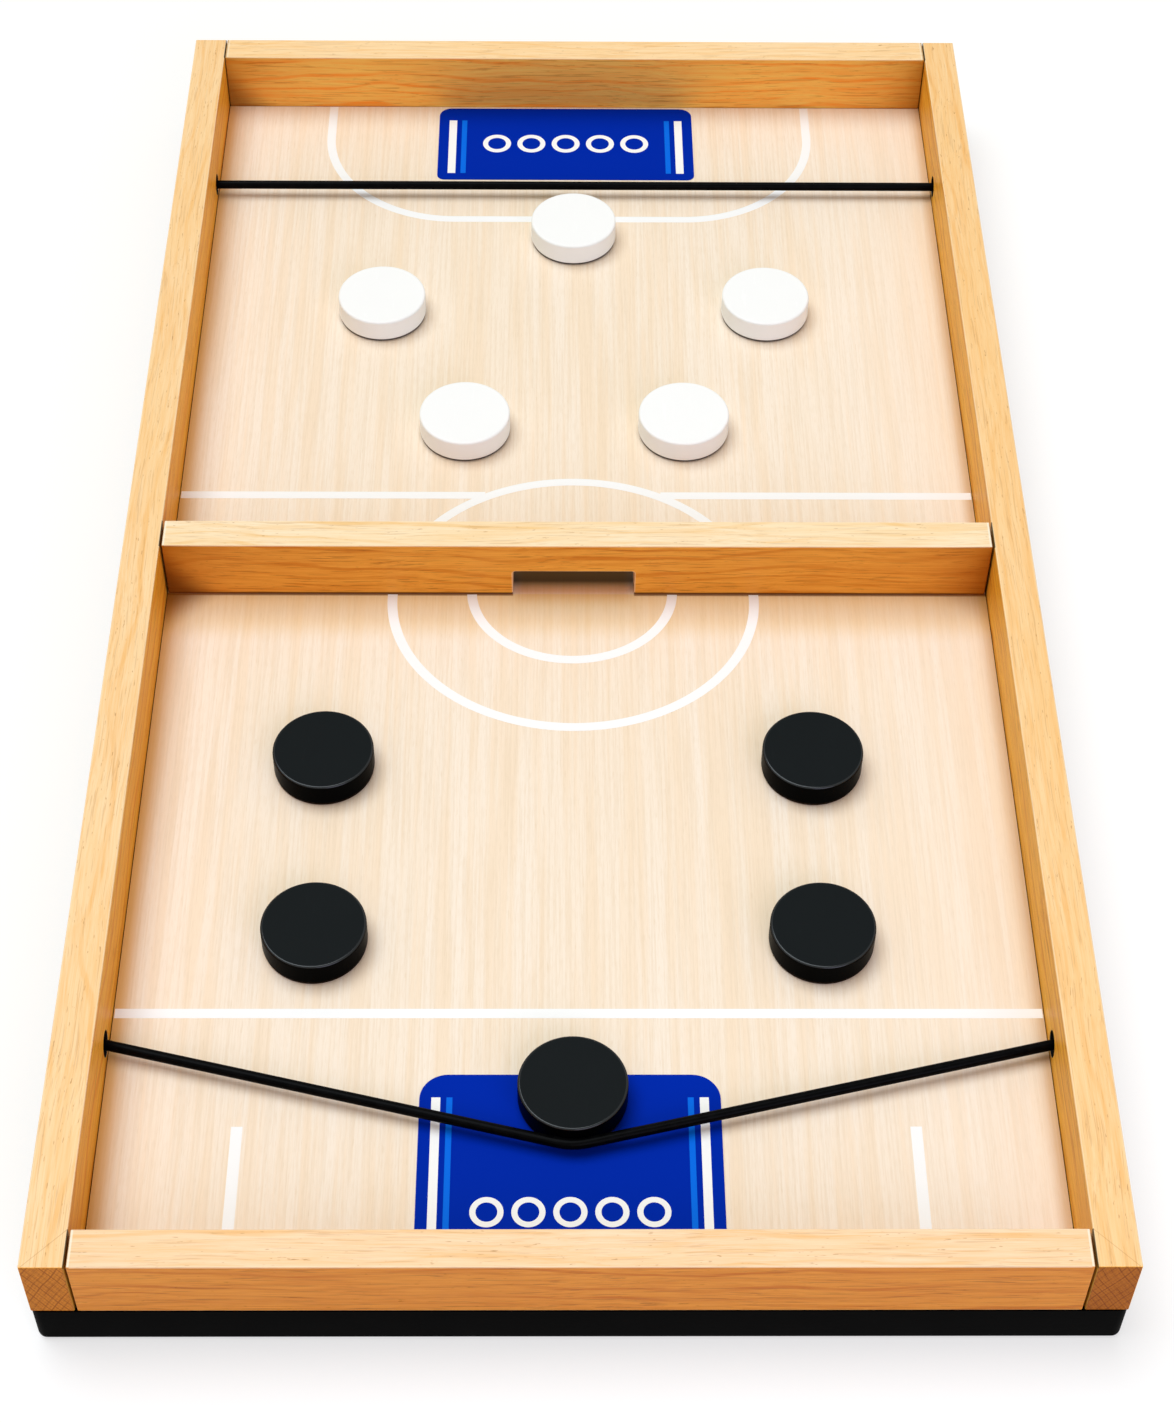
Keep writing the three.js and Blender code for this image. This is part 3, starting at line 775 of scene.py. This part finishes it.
def open_mesh(piece, kind="VERT", wanted=None):
    """Goes into edit mode with all of a piece selected, or only the parts that are wanted."""
    choose(piece)
    bpy.ops.object.mode_set(mode="EDIT")
    bpy.ops.mesh.select_mode(type=kind)
    if wanted is None:
        bpy.ops.mesh.select_all(action="SELECT")
        return
    bpy.ops.mesh.select_all(action="DESELECT")
    bpy.ops.object.mode_set(mode="OBJECT")
    for part in piece.data.edges if kind == "EDGE" else piece.data.vertices:
        part.select = wanted(part)
    bpy.ops.object.mode_set(mode="EDIT")


def close_mesh():
    bpy.ops.object.mode_set(mode="OBJECT")


def hollow(piece, width):
    """Leaves a line of this width along a flat shape's outline."""
    open_mesh(piece)
    bpy.ops.mesh.inset(thickness=width)
    bpy.ops.mesh.delete(type="FACE")
    close_mesh()


def keep_beyond(piece, y, way):
    """Cuts a flat shape along a line across the tray, and keeps the part beyond it."""
    open_mesh(piece)
    bpy.ops.mesh.bisect(plane_co=(0, y, BOARD_TOP), plane_no=(0, way, 0), clear_inner=True)
    close_mesh()


def thicken(piece, height):
    """Gives a flat shape a thickness, with its faces turned outward."""
    open_mesh(piece)
    bpy.ops.mesh.extrude_region_move(TRANSFORM_OT_translate={"value": (0, 0, height)})
    bpy.ops.mesh.select_all(action="SELECT")
    bpy.ops.mesh.normals_make_consistent(inside=False)
    close_mesh()


def shade(piece, degrees):
    choose(piece)
    bpy.ops.object.shade_smooth_by_angle(angle=math.radians(degrees))


def dress(piece, material, body, slot, *nodes):
    """Gives a finished piece its material and its body, and hides the nodes that it stands for. The slot is not
    used.
    """
    piece.data.materials.clear()
    piece.data.materials.append(material)
    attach(piece, body)
    if nodes:
        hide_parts(*nodes)


def coat_nodes(start, material):
    """Gives the nodes whose names start like this a finish, as they are."""
    for name, node in frame["nodes"].items():
        if name.startswith(start):
            node.data.materials.clear()
            node.data.materials.append(material)


class GAME_OT_camera(Operator):
    """Place the camera at the picture's viewing angle"""

    bl_idname = "puck_game.camera"
    bl_label = "Camera"

    def execute(self, context):
        view = context.scene.puck_game.view
        bpy.ops.object.select_all(action="DESELECT")
        bpy.ops.object.camera_add()
        camera = context.active_object
        camera.name = "camera"
        level = Vector((math.sin(view.yaw), math.cos(view.yaw), 0))
        ahead = level * math.cos(view.pitch) - Vector((0, 0, math.sin(view.pitch)))
        right = Vector((math.cos(view.yaw), -math.sin(view.yaw), 0))
        up = right.cross(ahead)
        lean_right = right * math.cos(view.roll) + up * math.sin(view.roll)
        lean_up = up * math.cos(view.roll) - right * math.sin(view.roll)
        turn = Matrix((lean_right, lean_up, -ahead)).transposed().to_4x4()
        camera.matrix_world = Matrix.Translation(view.place) @ turn
        camera.data.sensor_fit = "VERTICAL"
        camera.data.lens = view.focal_share * camera.data.sensor_height
        camera.data.clip_start = 1 * MM
        context.scene.camera = camera
        return {"FINISHED"}


class GAME_OT_stage(Operator):
    """Lay the pale floor and hang the soft light"""

    bl_idname = "puck_game.stage"
    bl_label = "Stage"

    floor_reach = 6.0
    floor_gap = 0.1 * MM
    floor_white = 1.07
    key_from = (-0.24, 0.22, 1.0)
    key_spread = math.radians(44)
    fill_place = (0.6, -1.45, 0.9)
    fill_size = 1.2

    def execute(self, context):
        stage = context.scene.puck_game.stage
        context.scene.view_settings.view_transform = "Standard"
        reach, height = self.floor_reach, FLOOR_Z - self.floor_gap
        floor = add_sheet("floor", (-reach, -reach, height), (reach, reach, height))
        floor.data.materials.append(self.floor_finish(stage))
        key = self.hang("SUN", "key_light", self.key_from, stage.key_strength)
        key.angle = self.key_spread
        key.color = stage.key_colour
        fill = self.hang("AREA", "front_fill", self.fill_place, stage.fill_power)
        fill.shape = "DISK"
        fill.size = self.fill_size
        fill.color = stage.fill_colour
        context.scene.world = self.sky(stage)
        return {"FINISHED"}

    def hang(self, kind, name, place, strength):
        """Adds a light that points at the middle of the game."""
        bpy.ops.object.select_all(action="DESELECT")
        bpy.ops.object.light_add(type=kind, location=place)
        lamp = bpy.context.active_object
        lamp.name = name
        lamp.rotation_euler = (-Vector(place)).to_track_quat("-Z", "Y").to_euler()
        lamp.data.energy = strength
        return lamp.data

    def floor_finish(self, stage):
        """A matt floor that keeps the shadow, and of which the camera sees a share as plain white."""
        finish = Finish("floor")
        grain = finish.noise(30)
        colour = finish.tint(grain * 0.1, stage.floor_colour, shaded(stage.floor_colour, 0.99))
        matt = finish.node("BsdfDiffuse", {"Color": colour}).outputs[0]
        white = finish.node("Emission", {"Color": (1, 1, 1), "Strength": self.floor_white}).outputs[0]
        share = finish.direct_view() * stage.floor_glow
        seen = finish.node("MixShader", {0: share, 1: matt, 2: white})
        finish.node("OutputMaterial", {"Surface": seen.outputs[0]})
        return finish.material

    def sky(self, stage):
        """An even light that shows as a plain white background."""
        world = bpy.data.worlds.new("plain_sky")
        world.use_nodes = True
        nodes = Nodes(world.node_tree)
        even = nodes.node("Background", {"Color": stage.sky_colour, "Strength": stage.sky_strength})
        plain = nodes.node("Background", {"Color": (1, 1, 1), "Strength": 1.0})
        mixed = nodes.node("MixShader", {0: nodes.direct_view(), 1: even.outputs[0], 2: plain.outputs[0]})
        nodes.node("OutputWorld", {"Surface": mixed.outputs[0]})
        return world


class GAME_OT_slings(Operator):
    """Stretch the two elastic slings and seat their stoppers"""

    bl_idname = "puck_game.slings"
    bl_label = "Slings"

    cord_sides = 24
    ball_rings = 12
    ball_share = 0.998
    bend_steps = 24
    cord_smooth = 40
    stopper_sides = 48
    stopper_easing = 0.8 * MM
    stopper_segments = 4
    stopper_smooth = 30
    recess_sides = 32
    recess_share = 1.3
    recess_depth = 0.5 * MM
    stub_inset = 0.1 * MM

    def execute(self, context):
        self.material = elastic(context.scene.puck_game.cords)
        self.make_front()
        self.make_back()
        for sling in ("front", "back"):
            for side_name, side in SIDES.items():
                self.make_stopper("cord_end_" + sling + "_" + side_name, side_name, side)
        return {"FINISHED"}

    def hinge(self, node):
        """The point that a run turns about."""
        joint = next(joint for joint in frame["joints"] if joint["name"] == node + "_turn")
        return Vector(joint["pos_m"])

    def make_run(self, name, node, pivot, far):
        """A straight stretch with a round inner end, so that it meets the bight at any angle."""
        run = add_rod(name, CORD_RADIUS, pivot, far, self.cord_sides)
        bpy.ops.object.select_all(action="DESELECT")
        bpy.ops.mesh.primitive_uv_sphere_add(
            segments=self.cord_sides,
            ring_count=self.ball_rings,
            radius=CORD_RADIUS * self.ball_share,
            location=pivot,
        )
        combine(run, "UNION", take_new(name + "_end"))
        shade(run, self.cord_smooth)
        dress(run, self.material, name, "elastic", node)

    def make_front(self):
        """Two runs that leave the puck along tangents, and the bight between them."""
        middle = centre("black_puck_sling")
        swings = {}
        for side_name, side in SIDES.items():
            node = "front_cord_" + side_name
            pivot = self.hinge(node)
            offset = pivot - middle
            wrap = offset.to_2d().length
            swing = math.asin(abs(offset.x) / wrap)
            reach = abs(end_x(node, side) - pivot.x) - CORD_RADIUS * math.sin(swing)
            far = pivot + Vector((side * reach, reach * math.tan(swing), 0))
            self.make_run("front_sling_" + side_name, node, pivot, far)
            swings[side_name] = swing
        self.make_bight(middle, wrap, swings)

    def make_bight(self, middle, wrap, swings):
        """The stretch that bends round the puck: a disc spun about the puck's middle."""
        start = -swings["left"]
        place = middle + Vector((math.sin(start), -math.cos(start), 0)) * wrap
        turn = (math.pi / 2, 0, math.pi / 2 + start)
        bight = add_disc("front_sling_bight", self.cord_sides, place, CORD_RADIUS, CORD_RADIUS, turn)
        open_mesh(bight)
        bpy.ops.mesh.spin(
            steps=self.bend_steps,
            angle=-(swings["left"] + swings["right"]),
            center=middle,
            axis=(0, 0, 1),
            dupli=False,
        )
        bpy.ops.mesh.select_all(action="SELECT")
        bpy.ops.mesh.normals_make_consistent(inside=False)
        close_mesh()
        shade(bight, self.cord_smooth)
        dress(bight, self.material, "front_sling", "elastic", "front_cord_bight")

    def make_back(self):
        """Three stretches in one straight line."""
        pivots = {}
        for side_name, side in SIDES.items():
            node = "back_cord_" + side_name
            pivot = self.hinge(node)
            self.make_run("back_sling_" + side_name, node, pivot, (end_x(node, side), pivot.y, pivot.z))
            pivots[side_name] = pivot
        bight = add_rod("back_sling_bight", CORD_RADIUS, pivots["left"], pivots["right"], self.cord_sides)
        shade(bight, self.cord_smooth)
        dress(bight, self.material, "back_sling", "elastic", "back_cord_bight")

    def make_stopper(self, node, side_name, side):
        """A turned stopper on a cord's end, with the cord's cut end showing in a recess."""
        low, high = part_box(node)
        seat = Vector((end_x(side_name + "_rail", side) - side * POCKET_DEPTH, *centre(node).yz))
        outer = Vector((end_x(node, side), *seat.yz))
        inner = Vector((end_x(node, -side), *seat.yz))
        outward = Vector((side, 0, 0))
        stopper = add_rod(node + "_turned", (high.z - low.z) / 2, seat, outer, self.stopper_sides)
        ease_edges(stopper, self.stopper_easing, self.stopper_segments)
        deep = outward * self.recess_depth
        recess = add_rod(
            "recess", CORD_RADIUS * self.recess_share, outer - deep, outer + deep, self.recess_sides
        )
        combine(stopper, "DIFFERENCE", recess)
        stub = add_rod("stub", CORD_RADIUS, inner, outer - outward * self.stub_inset, self.cord_sides)
        combine(stopper, "UNION", stub)
        shade(stopper, self.stopper_smooth)
        dress(stopper, self.material, "frame", "elastic", node)


class GAME_OT_timber(Operator):
    """Saw, drill and lacquer the rails and the divider"""

    bl_idname = "puck_game.timber"
    bl_label = "Rails and divider"

    sharp_angle = 30
    edge_segments = 3
    corner_segments = 4
    smooth_angle = 12
    pin_clearance = 0.15 * MM
    dowel_sides = 32
    screw_sides = 24
    hole_sides = 48

    def execute(self, context):
        wood = context.scene.puck_game.wood
        # Face and end shares are painted light: each piece's upright faces and sawn ends are made lighter or
        # darker as light falls on them, and the shade share sets its painted shade.
        looks = {
            "left_rail": {
                "top_colour": wood.left_rail_top,
                "painted_face_light": (1.17, 1.36, 0.84),
                "end_shares": (0.91, 0.88, 0.55),
            },
            "right_rail": {
                "top_colour": wood.right_rail_top,
                "painted_face_light": (1.05, 1.40, 0.94),
                "end_shares": (0.67, 0.56, 0.20),
            },
            "front_rail": {"top_colour": wood.front_rail_top, "painted_face_light": (0.80, 0.76, 0.52)},
            "back_rail": {
                "top_colour": wood.back_rail_top,
                "painted_face_light": (1.45, 1.56, 2.1),
                "painted_shade_share": 0.7,
                "seam": 0.45,
            },
            "centre_divider": {
                "top_colour": wood.divider_top,
                "painted_face_light": (0.99, 1.08, 0.92),
                "painted_shade_share": 0.9,
            },
        }
        for node, look in looks.items():
            along = 1 if node in ("left_rail", "right_rail") else 0
            low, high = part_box(node)
            rail = add_block(node + "_timber", low, high)
            if node == "centre_divider":
                combine(rail, "DIFFERENCE", self.gate(low, high))
            self.ease(rail, wood.edge_radius)
            combine(rail, "DIFFERENCE", *self.cutters(low, high))
            shade(rail, self.smooth_angle)
            dress(rail, Timber(node, wood, along).lacquer(**look), "frame", "pine", node)
        coat_nodes("dowel", Timber("dowel_front_left", wood, 0).lacquer(wood.back_rail_top))
        return {"FINISHED"}

    def ease(self, rail, radius):
        """Rounds every sharp edge, the short ones round the gate too."""
        open_mesh(rail, "EDGE", lambda edge: False)
        bpy.ops.mesh.edges_select_sharp(sharpness=math.radians(self.sharp_angle))
        bpy.ops.mesh.bevel(offset=radius, segments=self.edge_segments, affect="EDGES")
        close_mesh()

    def gate(self, low, high):
        """The opening that the pucks are shot through, with small round corners at its top."""
        reach = 5 * OVERRUN
        gate_low = (GATE_MIDDLE - GATE_HALF_WIDTH, low.y - reach, low.z - reach)
        gate_high = (GATE_MIDDLE + GATE_HALF_WIDTH, high.y + reach, low.z + GATE_HEIGHT)
        gate = add_block("cutter", gate_low, gate_high)
        ease_edges(gate, GATE_CORNER, self.corner_segments)
        return gate

    def cutters(self, low, high):
        """What is drilled out of one piece of timber."""
        cutters = []
        extra = self.pin_clearance
        for pin in frame["nodes"]:
            pin_low, pin_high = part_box(pin)
            if any(pin_high[i] < low[i] or pin_low[i] > high[i] for i in range(3)):
                continue
            x, y, z = centre(pin)
            if pin.startswith("dowel"):
                radius = (pin_high.z - pin_low.z) / 2 + extra
                start, end = (pin_low.x - extra, y, z), (pin_high.x + extra, y, z)
                cutters.append(add_rod("cutter", radius, start, end, self.dowel_sides))
            elif pin.startswith("base_screw"):
                radius = (pin_high.x - pin_low.x) / 4 + extra
                start, end = (x, y, low.z - OVERRUN), (x, y, pin_high.z + extra)
                cutters.append(add_rod("cutter", radius, start, end, self.screw_sides))
            elif pin.startswith("cord_end"):
                cutters += self.cord_hole(low, high, y, z)
        return cutters

    def cord_hole(self, low, high, y, z):
        """A wide mouth inside, a narrow throat, and a pocket outside."""
        side = 1 if low.x > 0 else -1
        inner, outer = (low.x, high.x) if side > 0 else (high.x, low.x)
        steps = (
            (MOUTH_RADIUS, inner - side * OVERRUN, inner + side * MOUTH_DEPTH),
            (THROAT_RADIUS, inner, outer),
            (POCKET_RADIUS, outer - side * POCKET_DEPTH, outer + side * OVERRUN),
        )
        return [
            add_rod("cutter", radius, (start, y, z), (end, y, z), self.hole_sides)
            for radius, start, end in steps
        ]


class GAME_OT_base(Operator):
    """Shape and paint the base, finish the board and the screws"""

    bl_idname = "puck_game.base"
    bl_label = "Base and board"

    corner_radius = 3 * MM
    corner_segments = 8
    lower_edge_radius = 1.6 * MM
    lower_edge_segments = 5
    smooth_angle = 30
    head_radius = 3.65 * MM
    head_depth = 1 * MM
    head_sides = 32
    black = (0.0012, 0.0012, 0.0011)

    def execute(self, context):
        low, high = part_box("base_board")
        base = add_block("base_board_painted", low, high)
        self.round_corners(base, low)
        heads = []
        for node in frame["nodes"]:
            if node.startswith("base_screw"):
                x, y, _ = centre(node)
                start, end = (x, y, low.z - OVERRUN), (x, y, low.z + self.head_depth)
                heads.append(add_rod("cutter", self.head_radius, start, end, self.head_sides))
        combine(base, "DIFFERENCE", *heads)
        shade(base, self.smooth_angle)
        black = paint("base_paint", self.black, coarse=0.42, gloss=0.006)
        dress(base, black, "frame", "black_paint", "base_board")
        coat_nodes("playing_board", Veneer(context.scene.puck_game.wood).lacquer())
        coat_nodes("base_screw", plated_steel())
        return {"FINISHED"}

    def round_corners(self, base, low):
        """Rounds the four upright corners, then the lower edge all round."""

        def heights(edge):
            return [base.data.vertices[i].co.z for i in edge.vertices]

        open_mesh(base, "EDGE", lambda edge: max(heights(edge)) - min(heights(edge)) > OVERRUN)
        bpy.ops.mesh.bevel(offset=self.corner_radius, segments=self.corner_segments, affect="EDGES")
        close_mesh()
        open_mesh(base, "EDGE", lambda edge: max(heights(edge)) < low.z + TOLERANCE)
        bpy.ops.mesh.bevel(offset=self.lower_edge_radius, segments=self.lower_edge_segments, affect="EDGES")
        close_mesh()


class GAME_OT_lines(Operator):
    """Print the white court lines on the board"""

    bl_idname = "puck_game.lines"
    bl_label = "Court lines"

    back_line_y = 42.2 * MM
    front_line_y = -180.4 * MM
    outer_ring = (-1.4 * MM, -8.6 * MM, 64.4 * MM, 59.3 * MM)
    inner_ring = (-1.8 * MM, -4.8 * MM, 36.5 * MM, 33.2 * MM)
    ring_sides = 256
    side_gap = 0.6 * MM
    bay_middle_x = -2.4 * MM
    bay_half_width = 98.6 * MM
    bay_front_y = 194.3 * MM
    bay_corner = 53 * MM
    bay_corner_segments = 32
    short_lines = (("left", -101.5 * MM), ("right", 99.7 * MM))
    short_line_y = -220.5 * MM
    smooth_angle = 20

    def execute(self, context):
        prints = context.scene.puck_game.prints
        self.width, self.depth = prints.line_width, prints.line_depth
        material = ink("court_line_ink", prints.white, coarse=0.42, gloss=0.2)
        half = self.width / 2
        reach = INNER_X - self.side_gap
        front = -INNER_Y + self.side_gap
        line_y = self.front_line_y
        pieces = [self.bar("front_court_line", -reach, reach, line_y - half, line_y + half)]
        for name, x in self.short_lines:
            pieces.append(self.bar("short_line_" + name, x - half, x + half, front, self.short_line_y))
        pieces.append(self.ring("outer_ring_front", self.outer_ring, DIVIDER_LOW.y, -1))
        pieces.append(self.ring("inner_ring_front", self.inner_ring, DIVIDER_LOW.y, -1))
        pieces += [self.back_line(half, reach), self.bay()]
        for piece in pieces:
            shade(piece, self.smooth_angle)
            dress(piece, material, "frame", "board_veneer")
        return {"FINISHED"}

    def bar(self, name, x0, x1, y0, y1):
        return add_block(name, (x0, y0, BOARD_TOP), (x1, y1, BOARD_TOP + self.depth))

    def ring(self, name, sizes, cut_y, way):
        """A ring's part on one side of the divider, a little wider across the tray than along it."""
        middle_x, middle_y, radius_x, radius_y = sizes
        place = (middle_x, middle_y, BOARD_TOP)
        ring = add_disc(name, self.ring_sides, place, radius_x, radius_y)
        hollow(ring, self.width)
        keep_beyond(ring, cut_y + way * self.side_gap / 2, way)
        thicken(ring, self.depth)
        return ring

    def back_line(self, half, reach):
        """The ring's part behind the divider, with the line that runs from it to both side rails."""
        line = self.ring("back_court_line", self.outer_ring, DIVIDER_HIGH.y, 1)
        middle_x, middle_y, radius_x, radius_y = self.outer_ring
        y = self.back_line_y
        ring_x = radius_x * math.sqrt(1 - ((y - middle_y) / radius_y) ** 2) - half
        for side in SIDES.values():
            start, end = sorted((middle_x + side * ring_x, side * reach))
            combine(line, "UNION", self.bar("bar", start, end, y - half, y + half))
        return line

    def bay(self):
        """The line round the back sling: straight sides with wide round corners."""
        back_y = 2 * INNER_Y - self.bay_front_y
        low = (self.bay_middle_x - self.bay_half_width, self.bay_front_y, BOARD_TOP)
        high = (self.bay_middle_x + self.bay_half_width, back_y, BOARD_TOP)
        bay = add_sheet("bay_line", low, high)
        open_mesh(bay, "VERT", lambda vertex: vertex.co.y < INNER_Y)
        bpy.ops.mesh.bevel(offset=self.bay_corner, segments=self.bay_corner_segments, affect="VERTICES")
        close_mesh()
        hollow(bay, self.width)
        keep_beyond(bay, INNER_Y - self.side_gap, -1)
        thicken(bay, self.depth)
        return bay


class GAME_OT_labels(Operator):
    """Lay the blue labels and print their stripes and rings"""

    bl_idname = "puck_game.labels"
    bl_label = "Labels"

    far_corner = {"front_label": 8.5 * MM, "back_label": 5 * MM}
    near_corner = {"front_label": 0.4 * MM, "back_label": 3 * MM}
    corner_segments = 12
    smooth_angle = 20
    stripe_shares = ((0.055, 0.030, "white"), (0.100, 0.020, "sky"))
    stripe_margin = 4 * MM
    ring_count = 5
    ring_sides = 64
    ring_radius_share = 0.055
    ring_line_share = 0.36
    ring_pitch_share = 0.135
    ring_place_share = {"front_label": 0.27, "back_label": 0.5}

    def execute(self, context):
        prints = context.scene.puck_game.prints
        self.depth = prints.ink_depth
        ground = ink("label_royal", prints.royal, coarse=0.30, gloss=0.008)
        inks = {
            "white": ink("label_white", prints.white, coarse=0.34, gloss=0.1),
            "sky": ink("label_sky", prints.sky, coarse=0.32, gloss=0.02),
        }
        for node in ("front_label", "back_label"):
            low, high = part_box(node)
            film = self.film(node, low, high)
            dress(film, ground, "frame", "label_film", node)
            self.print_stripes(node, low, high, inks)
            self.print_rings(node, low, high, inks["white"])
        return {"FINISHED"}

    def film(self, node, low, high):
        """A film with rounder corners on the side that faces away from the player."""
        film = add_sheet(node + "_film", low, high)
        for y, radius in ((high.y, self.far_corner[node]), (low.y, self.near_corner[node])):
            open_mesh(film, "VERT", lambda vertex: abs(vertex.co.y - y) < TOLERANCE)
            bpy.ops.mesh.bevel(offset=radius, segments=self.corner_segments, affect="VERTICES")
            close_mesh()
        thicken(film, high.z - low.z)
        shade(film, self.smooth_angle)
        return film

    def print_stripes(self, node, low, high, inks):
        """A broad and a narrow stripe along each side."""
        width = high.x - low.x
        for place_share, width_share, colour in self.stripe_shares:
            half = width_share * width / 2
            for side_name, side in SIDES.items():
                x = end_x(node, side) - side * place_share * width
                stripe = add_block(
                    node + "_" + colour + "_stripe_" + side_name,
                    (x - half, low.y + self.stripe_margin, high.z),
                    (x + half, high.y - 2 * self.stripe_margin, high.z + self.depth),
                )
                dress(stripe, inks[colour], "frame", "label_film")

    def print_rings(self, node, low, high, material):
        """A row of rings, one for each of a player's pucks."""
        width = high.x - low.x
        radius = self.ring_radius_share * width
        pattern = add_disc("ring_pattern", self.ring_sides, (0, 0, 0), radius, radius)
        hollow(pattern, radius * self.ring_line_share)
        thicken(pattern, self.depth)
        y = low.y + self.ring_place_share[node] * (high.y - low.y)
        for i in range(self.ring_count):
            x = centre(node).x + (i - (self.ring_count - 1) / 2) * self.ring_pitch_share * width
            ring = copy_of(pattern, node + "_ring_" + str(i + 1), Matrix.Translation((x, y, high.z)))
            dress(ring, material, "frame", "label_film")
        bpy.data.objects.remove(pattern)


class GAME_OT_pucks(Operator):
    """Mould the ten pucks"""

    bl_idname = "puck_game.pucks"
    bl_label = "Pucks"

    sides_round = 128
    rim_segments = 6
    foot_easing = 0.2 * MM
    foot_segments = 2
    smooth_angle = 60
    black_look = {"painted_side_light": (0.08,), "coarse": 0.26, "gloss": 0.008, "rim_shine": 0.5}
    white_look = {"painted_side_light": (1.0, 1.05, 1.08), "coarse": 0.42, "gloss": 0.2, "rim_shine": 0.2}

    def execute(self, context):
        pucks = context.scene.puck_game.pucks
        finishes = {
            "black": moulded("black_puck", pucks.black, **self.black_look),
            "white": moulded("white_puck", pucks.white, **self.white_look),
        }
        groups = frame["record"]["behaviour"]["bodies"]
        bodies = {node: body for body, nodes in groups.items() for node in nodes}
        names = [node for node in frame["nodes"] if "_puck_" in node]
        low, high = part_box(names[0])
        pattern = self.make_puck((high.x - low.x) / 2, (high.z - low.z) / 2, pucks)
        for node in names:
            colour = node.split("_")[0]
            puck = copy_of(pattern, node + "_moulded", Matrix.Translation(centre(node)))
            dress(puck, finishes[colour], bodies[node], colour + "_puck", node)
        bpy.data.objects.remove(pattern)
        return {"FINISHED"}

    def make_puck(self, radius, half, pucks):
        """A disc with round rims that stands on a slightly smaller foot."""
        low = -half + pucks.foot_height
        puck = add_rod("puck_pattern", radius, (0, 0, low), (0, 0, half), self.sides_round)
        ease_edges(puck, pucks.rim_radius, self.rim_segments)
        foot = add_rod("foot", radius - pucks.foot_inset, (0, 0, -half), (0, 0, 0), self.sides_round)
        ease_edges(foot, self.foot_easing, self.foot_segments)
        combine(puck, "UNION", foot)
        shade(puck, self.smooth_angle)
        apply_modifier(puck, "WEIGHTED_NORMAL", keep_sharp=True, weight=100)
        return puck


class GAME_PT_panel(Panel):
    """The steps and settings of the game"""

    bl_idname = "GAME_PT_panel"
    bl_label = "Sling puck game"
    bl_space_type = "VIEW_3D"
    bl_region_type = "UI"
    bl_category = "Puck game"

    def draw(self, context):
        for operator in STEPS:
            self.layout.operator(operator.bl_idname, text=operator.bl_label)
        game = context.scene.puck_game
        for group in (game.view, game.stage, game.wood, game.prints, game.pucks, game.cords):
            box = self.layout.box()
            for name in group.__annotations__:
                box.prop(group, name)


STEPS = (
    GAME_OT_camera,
    GAME_OT_slings,
    GAME_OT_stage,
    GAME_OT_timber,
    GAME_OT_base,
    GAME_OT_lines,
    GAME_OT_labels,
    GAME_OT_pucks,
)
GROUPS = (ViewSettings, StageSettings, WoodSettings, PrintSettings, PuckSettings, CordSettings, GameSettings)


def register():
    for thing in GROUPS + STEPS + (GAME_PT_panel,):
        bpy.utils.register_class(thing)
    bpy.types.Scene.puck_game = PointerProperty(type=GameSettings)


def unregister():
    del bpy.types.Scene.puck_game
    for thing in reversed(GROUPS + STEPS + (GAME_PT_panel,)):
        bpy.utils.unregister_class(thing)


def main():
    register()
    for step in STEPS:
        group, name = step.bl_idname.split(".")
        getattr(getattr(bpy.ops, group), name)()


if __name__ == "__main__":
    main()
